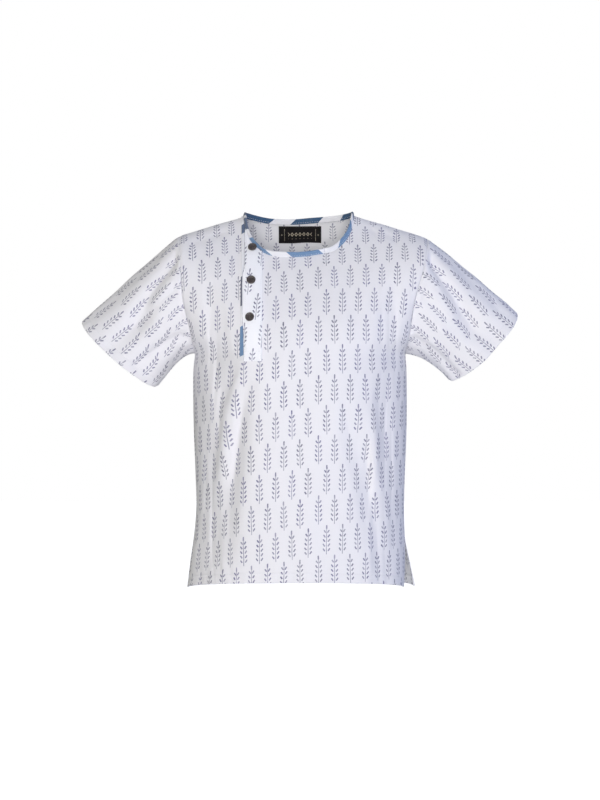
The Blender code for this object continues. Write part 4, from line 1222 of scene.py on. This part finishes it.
def strip_on_front(name, left, right, columns, look, edge, squeeze):
    """A folded strip lying on the front from the band's foot up to the neck, with rounded edges. Its
    long edges are the same all the way up, or given at each of the band's heights."""
    x = left + (right - left) * crowded(columns)
    top = neck_height(x) - BAND_BELOW_NECK
    height = BAND_FOOT + (top - BAND_FOOT) * crowded(BAND_ROWS)[:, None]
    away = np.minimum(np.minimum(x - left, right - x), height - BAND_FOOT)
    rounded = np.sqrt(1 - (1 - np.clip(away / edge, 0, 1)) ** 2)
    sewn = np.exp(-((away - BAND_STITCHES) / BAND_DITCH_HALF) ** 2)
    ripple = np.sin(2 * pi * height / BAND_RIPPLE_PITCH + 40 * x) * np.exp(-(away / BAND_RIPPLE_REACH) ** 2)
    out = BAND_BASE + BAND_EDGE + (BAND_CLOTH - BAND_EDGE) * rounded - BAND_DITCH * sewn
    skin, _ = on_panel("front", x, height, out + BAND_RIPPLE * ripple)
    under, _ = on_panel("front", x, height, BAND_BASE + BAND_UNDER_LIFT * (1 - rounded))
    flat = np.stack([-height, x - BAND_LEFT], axis=-1)
    across, up = x - BAND_ORIGIN[0], (height - BAND_ORIGIN[1]) * squeeze
    printed = np.stack([across - BAND_SHEAR * up, up], axis=-1)
    made = cloth_shell(name, skin, under, flat, printed, look)
    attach(made, "root")
    return made


def front_run(places, out):
    """A run of stitching over the front through some places (x, z)."""
    x, height = along_line(places, np.linspace(0, 1, RUN_POINTS)).T
    return on_panel("front", x, height, out)


band_look = printed_cotton("band_cotton", (0.905, 0.91, 0.955, 1), (0.84, 0.845, 0.89, 1))
# The band's folded edge lies on the piping, of which less shows behind the buttons.
split = BAND_LEFT + PIPING_WIDTH
heights = BAND_FOOT * (1 - crowded(BAND_ROWS)[:, None])
covered = PIPING_COVERED * np.exp(-((heights - COVERED_MIDDLE) / COVERED_REACH) ** 4)
piping_edge = split - covered + BAND_WAVER * np.sin(90 * heights)
band = strip_on_front("button_band", piping_edge + SEAM_GAP, BAND_RIGHT, BAND_COLUMNS, band_look, BAND_ROUND,
                      BAND_SQUEEZE)
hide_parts("placket")
left, right = split + SEAM_GAP + BAND_STITCHES, BAND_RIGHT - BAND_STITCHES
left_top, right_top = neck_height(left) - STITCHES_BELOW_NECK, neck_height(right) - STITCHES_BELOW_NECK
foot = BAND_FOOT + BAND_STITCHES
across_foot = foot + STITCHES_ACROSS_FOOT
on_band = BAND_BASE + BAND_CLOTH - STITCH_SUNK
band_runs = [
    front_run(((left, left_top), (left, foot), (right, foot), (right, right_top)), on_band),
    front_run(((left, across_foot), (right, across_foot)), on_band + ACROSS_FOOT_LIFT),
]
band_stitches = stitches("band_stitches", band_runs, white_thread)

# --- Piping ------------------------------------------------------------------------------------------
# A narrow folded strip of the striped cotton, let into the band's long edge on the wearer's right.

INDIGO_GREY = (0.16, 0.17, 0.22, 1)
PIPING_STRIPES = ((19, PALE), (12, GREY_BLUE), (57, PALE), (38, INDIGO_GREY), (26, PALE), (38, BLUE),
                  (17, PALE))
PIPING_SLANT = 0.6
PIPING_COLUMNS = 14
PIPING_ROUND = 0.0012
piping_look = striped_cotton("piping_cotton", PIPING_STRIPES, PIPING_SLANT)
piping = strip_on_front("piping", BAND_LEFT, piping_edge, PIPING_COLUMNS, piping_look, PIPING_ROUND, 1.0)
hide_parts("placket_piping")

# --- Buttons -----------------------------------------------------------------------------------------
# Three turned coconut-shell buttons with four holes, sewn through the band with dark thread.

BUTTON_RADIUS = 0.0057
BUTTON_THICK = 0.0026
BUTTON_CLEAR = 0.00048
BUTTON_SIDES = 64
BUTTONS = ((-0.0611, -0.0499), (-0.0621, -0.0925), (-0.0631, -0.1397))
BUTTON_HOLE = 0.00078
BUTTON_HOLES = 0.00135
# The turned profile from the flat underside over the rim and into the well, as shares of the radius
# and the thickness.
BUTTON_PROFILE = ((0.80, 0.0), (0.92, 0.08), (0.985, 0.28), (1.0, 0.55), (0.975, 0.82), (0.92, 0.95),
                  (0.86, 1.0), (0.80, 0.98), (0.72, 0.88), (0.64, 0.76), (0.56, 0.70), (0.48, 0.67),
                  (0.42, 0.66), (0.36, 0.655), (0.31, 0.65), (0.26, 0.65), (0.21, 0.65), (0.16, 0.65),
                  (0.11, 0.65), (0.06, 0.65))
BUTTON_WELL = 0.6
HOLE_DEPTH = 0.6
HOLE_EDGE = 0.0002
STRANDS = (-0.00022, 0.0, 0.00022)
STRAND_RISE = 0.06


def coconut_shell():
    """Polished coconut shell: dark brown-grey, with short paler fibres through it."""
    graph = Graph(bpy.data.materials.new("coconut_shell"))
    place = graph.value("TexCoord", {}, "Object")
    stretched = graph.value("Mapping", {"Vector": place, "Scale": (1.0, 4.5, 1.0)})
    fibres = ((graph.noise(stretched, 520.0, 4.0) - 0.56) * 6.0).clamp()
    base = graph.mix(graph.noise(place, 190.0), (0.042, 0.035, 0.035, 1), (0.102, 0.088, 0.086, 1))
    colour = graph.mix(fibres * 0.55, base, (0.30, 0.26, 0.24, 1))
    return graph.finish(colour, fibres, roughness=0.42, sheen=0.0, strength=0.15, distance=0.0001)


turns = np.linspace(0, 2 * pi, BUTTON_SIDES, endpoint=False)
rings = [np.zeros((1, 3))]
for radius, share in BUTTON_PROFILE:
    across, up = radius * BUTTON_RADIUS * np.cos(turns), radius * BUTTON_RADIUS * np.sin(turns)
    from_hole = np.hypot(np.abs(across) - BUTTON_HOLES, np.abs(up) - BUTTON_HOLES)
    sunk = np.clip((BUTTON_HOLE - from_hole) / HOLE_EDGE, 0, 1) * (radius < BUTTON_WELL) * HOLE_DEPTH
    rings.append(np.stack([across, up, BUTTON_THICK * (share - sunk)], axis=1))
well = BUTTON_PROFILE[-1][1]
rings.append(np.array([(0, 0, BUTTON_THICK * well)]))
vertices = np.concatenate(rings).tolist()
last = len(vertices) - 1
pairs = [(side, (side + 1) % BUTTON_SIDES) for side in range(BUTTON_SIDES)]
faces = [(0, 1 + b, 1 + a) for a, b in pairs]
faces += [face[::-1] for face in tube_faces(1, len(BUTTON_PROFILE), BUTTON_SIDES)]
faces += [(last - BUTTON_SIDES + a, last - BUTTON_SIDES + b, last) for a, b in pairs]

shell_look = coconut_shell()
dark_thread = thread("dark_thread", (0.05, 0.045, 0.045, 1))
thread_height = BUTTON_THICK * (well + STRAND_RISE)
for number, (x, height) in enumerate(BUTTONS, 1):
    lift = BAND_BASE + BAND_CLOTH + BUTTON_CLEAR
    place, normal = on_panel("front", np.array(x), np.array(height), lift)
    turned = put_mesh(f"turned_button_{number}", vertices, faces, shell_look)
    turned.data.shade_smooth()
    turned.location = place
    turned.rotation_euler = Vector(normal).to_track_quat("Z", "Y").to_euler()
    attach(turned, "root")
    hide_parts(f"button_{number}")
    bpy.context.view_layer.update()
    strands = []
    for side in (-1, 1):
        for shift in STRANDS:
            ends = [(side * BUTTON_HOLES + shift, end * BUTTON_HOLES, thread_height) for end in (-1, 1)]
            ends = [tuple(turned.matrix_world @ Vector(end)) for end in ends]
            strands.append((np.array(ends), np.array([normal, normal])))
    stitches(f"button_thread_{number}", strands, dark_thread)

# --- Neck label --------------------------------------------------------------------------------------
# A woven black satin label sewn inside the back below the neck, bare but for dotted lines and lozenges.

LABEL_WIDTH = 0.056
LABEL_HEIGHT = 0.0208
LABEL_TOP = -0.0150
LABEL_OUT = -0.0011
LABEL_CLOTH = 0.0004
LABEL_COLUMNS = 40
LABEL_ROWS = 18
LABEL_STITCHES = 0.0009
LABEL_BULGE = 0.00045
LABEL_BULGE_REACH = 0.004
LABEL_RUN_POINTS = 160
# The border in millimetres from the label's middle: dotted lines, lozenges, a dotted row below them and
# a spot at each end.
DOT_PITCH = 1.6
DOT_HALF = 0.45
DOTTED_LINE = 20.5
LINE_HALF = 0.32
DOTTED_REACH = 7.4
LOZENGE_PITCH = 5.2
LOZENGE_HEIGHT = 0.8
LOZENGE_SIZE = 2.1
LOZENGE_LINE = 0.62
LOZENGES_REACH = 15.6
SPOTS_DROP = 4.6
SPOT_SIZE = 0.75
END_SPOT = 24.0
END_SPOT_SIZE = 1.1
PICK_PITCH = 0.28


def woven_satin():
    """Black satin with a generic border: dotted lines and a row of small lozenges in dull gold."""
    graph = Graph(bpy.data.materials.new("label_satin"))
    u, v, _ = graph.place("flat")
    from_middle = abs(u)
    dots = abs(v % DOT_PITCH - DOT_PITCH / 2) < DOT_HALF
    lines = abs(from_middle - DOTTED_LINE) < LINE_HALF
    dotted = dots * lines * (abs(v) < DOTTED_REACH)
    across = abs((u + LOZENGE_PITCH / 2) % LOZENGE_PITCH - LOZENGE_PITCH / 2)
    size = across * 1.25 + abs(v - LOZENGE_HEIGHT)
    lozenge = (abs(size - LOZENGE_SIZE) < LOZENGE_LINE) * (from_middle < LOZENGES_REACH)
    below = (across + abs(v + SPOTS_DROP) < SPOT_SIZE) * (from_middle < LOZENGES_REACH) * 0.55
    ends = abs(from_middle - END_SPOT) + abs(v) < END_SPOT_SIZE
    gold = dotted.do("MAXIMUM", below).do("MAXIMUM", lozenge.do("MAXIMUM", ends * 0.6))
    picks = (v * (2 * pi / PICK_PITCH)).do("SINE") * 0.5 + 0.5
    satin = graph.mix(picks, (0.0040, 0.0032, 0.0036, 1), (0.0110, 0.0090, 0.0095, 1))
    colour = graph.mix(gold * (picks * 0.4 + 0.6), satin, (0.60, 0.54, 0.40, 1))
    relief = picks + gold * 1.5
    return graph.finish(colour, relief, roughness=0.46, sheen=0.0, strength=0.3, distance=0.00008)


label_foot = LABEL_TOP - LABEL_HEIGHT
x, height = np.meshgrid(-LABEL_WIDTH / 2 + LABEL_WIDTH * crowded(LABEL_COLUMNS),
                        label_foot + LABEL_HEIGHT * crowded(LABEL_ROWS))
from_end = np.minimum(LABEL_WIDTH / 2 - np.abs(x), np.minimum(LABEL_TOP - height, height - label_foot))
bulge = LABEL_BULGE * np.clip(from_end / LABEL_BULGE_REACH, 0, 1) ** 0.7
bulge = bulge * (1 + 0.35 * np.sin(210 * x + 90 * height))
sag = 0.0005 * np.sin(75 * x + 0.6) + 0.00022 * np.sin(190 * x)
crooked = height + sag * (LABEL_TOP - height) / LABEL_HEIGHT
visible, _ = on_panel("back", x, crooked, LABEL_OUT - bulge)
hidden, _ = on_panel("back", x, crooked, LABEL_OUT - bulge + LABEL_CLOTH)
flat = np.stack([x, height - LABEL_TOP + LABEL_HEIGHT / 2], axis=-1)
label = cloth_shell("woven_label", visible, hidden, flat, flat, woven_satin())
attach(label, "root")
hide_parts("neck_label")
box = np.array(((-1, -1), (1, -1), (1, 1), (-1, 1), (-1, -1)))
box = box * (LABEL_WIDTH / 2 - LABEL_STITCHES, LABEL_HEIGHT / 2 - LABEL_STITCHES)
line = along_line(box, np.linspace(0, 1, LABEL_RUN_POINTS)) + (0, LABEL_TOP - LABEL_HEIGHT / 2)
x, height = line.T
place, normal = on_panel("back", x, height, LABEL_OUT - STITCH_SUNK)
label_stitches = stitches("label_stitches", [(place, -normal)], dark_thread)
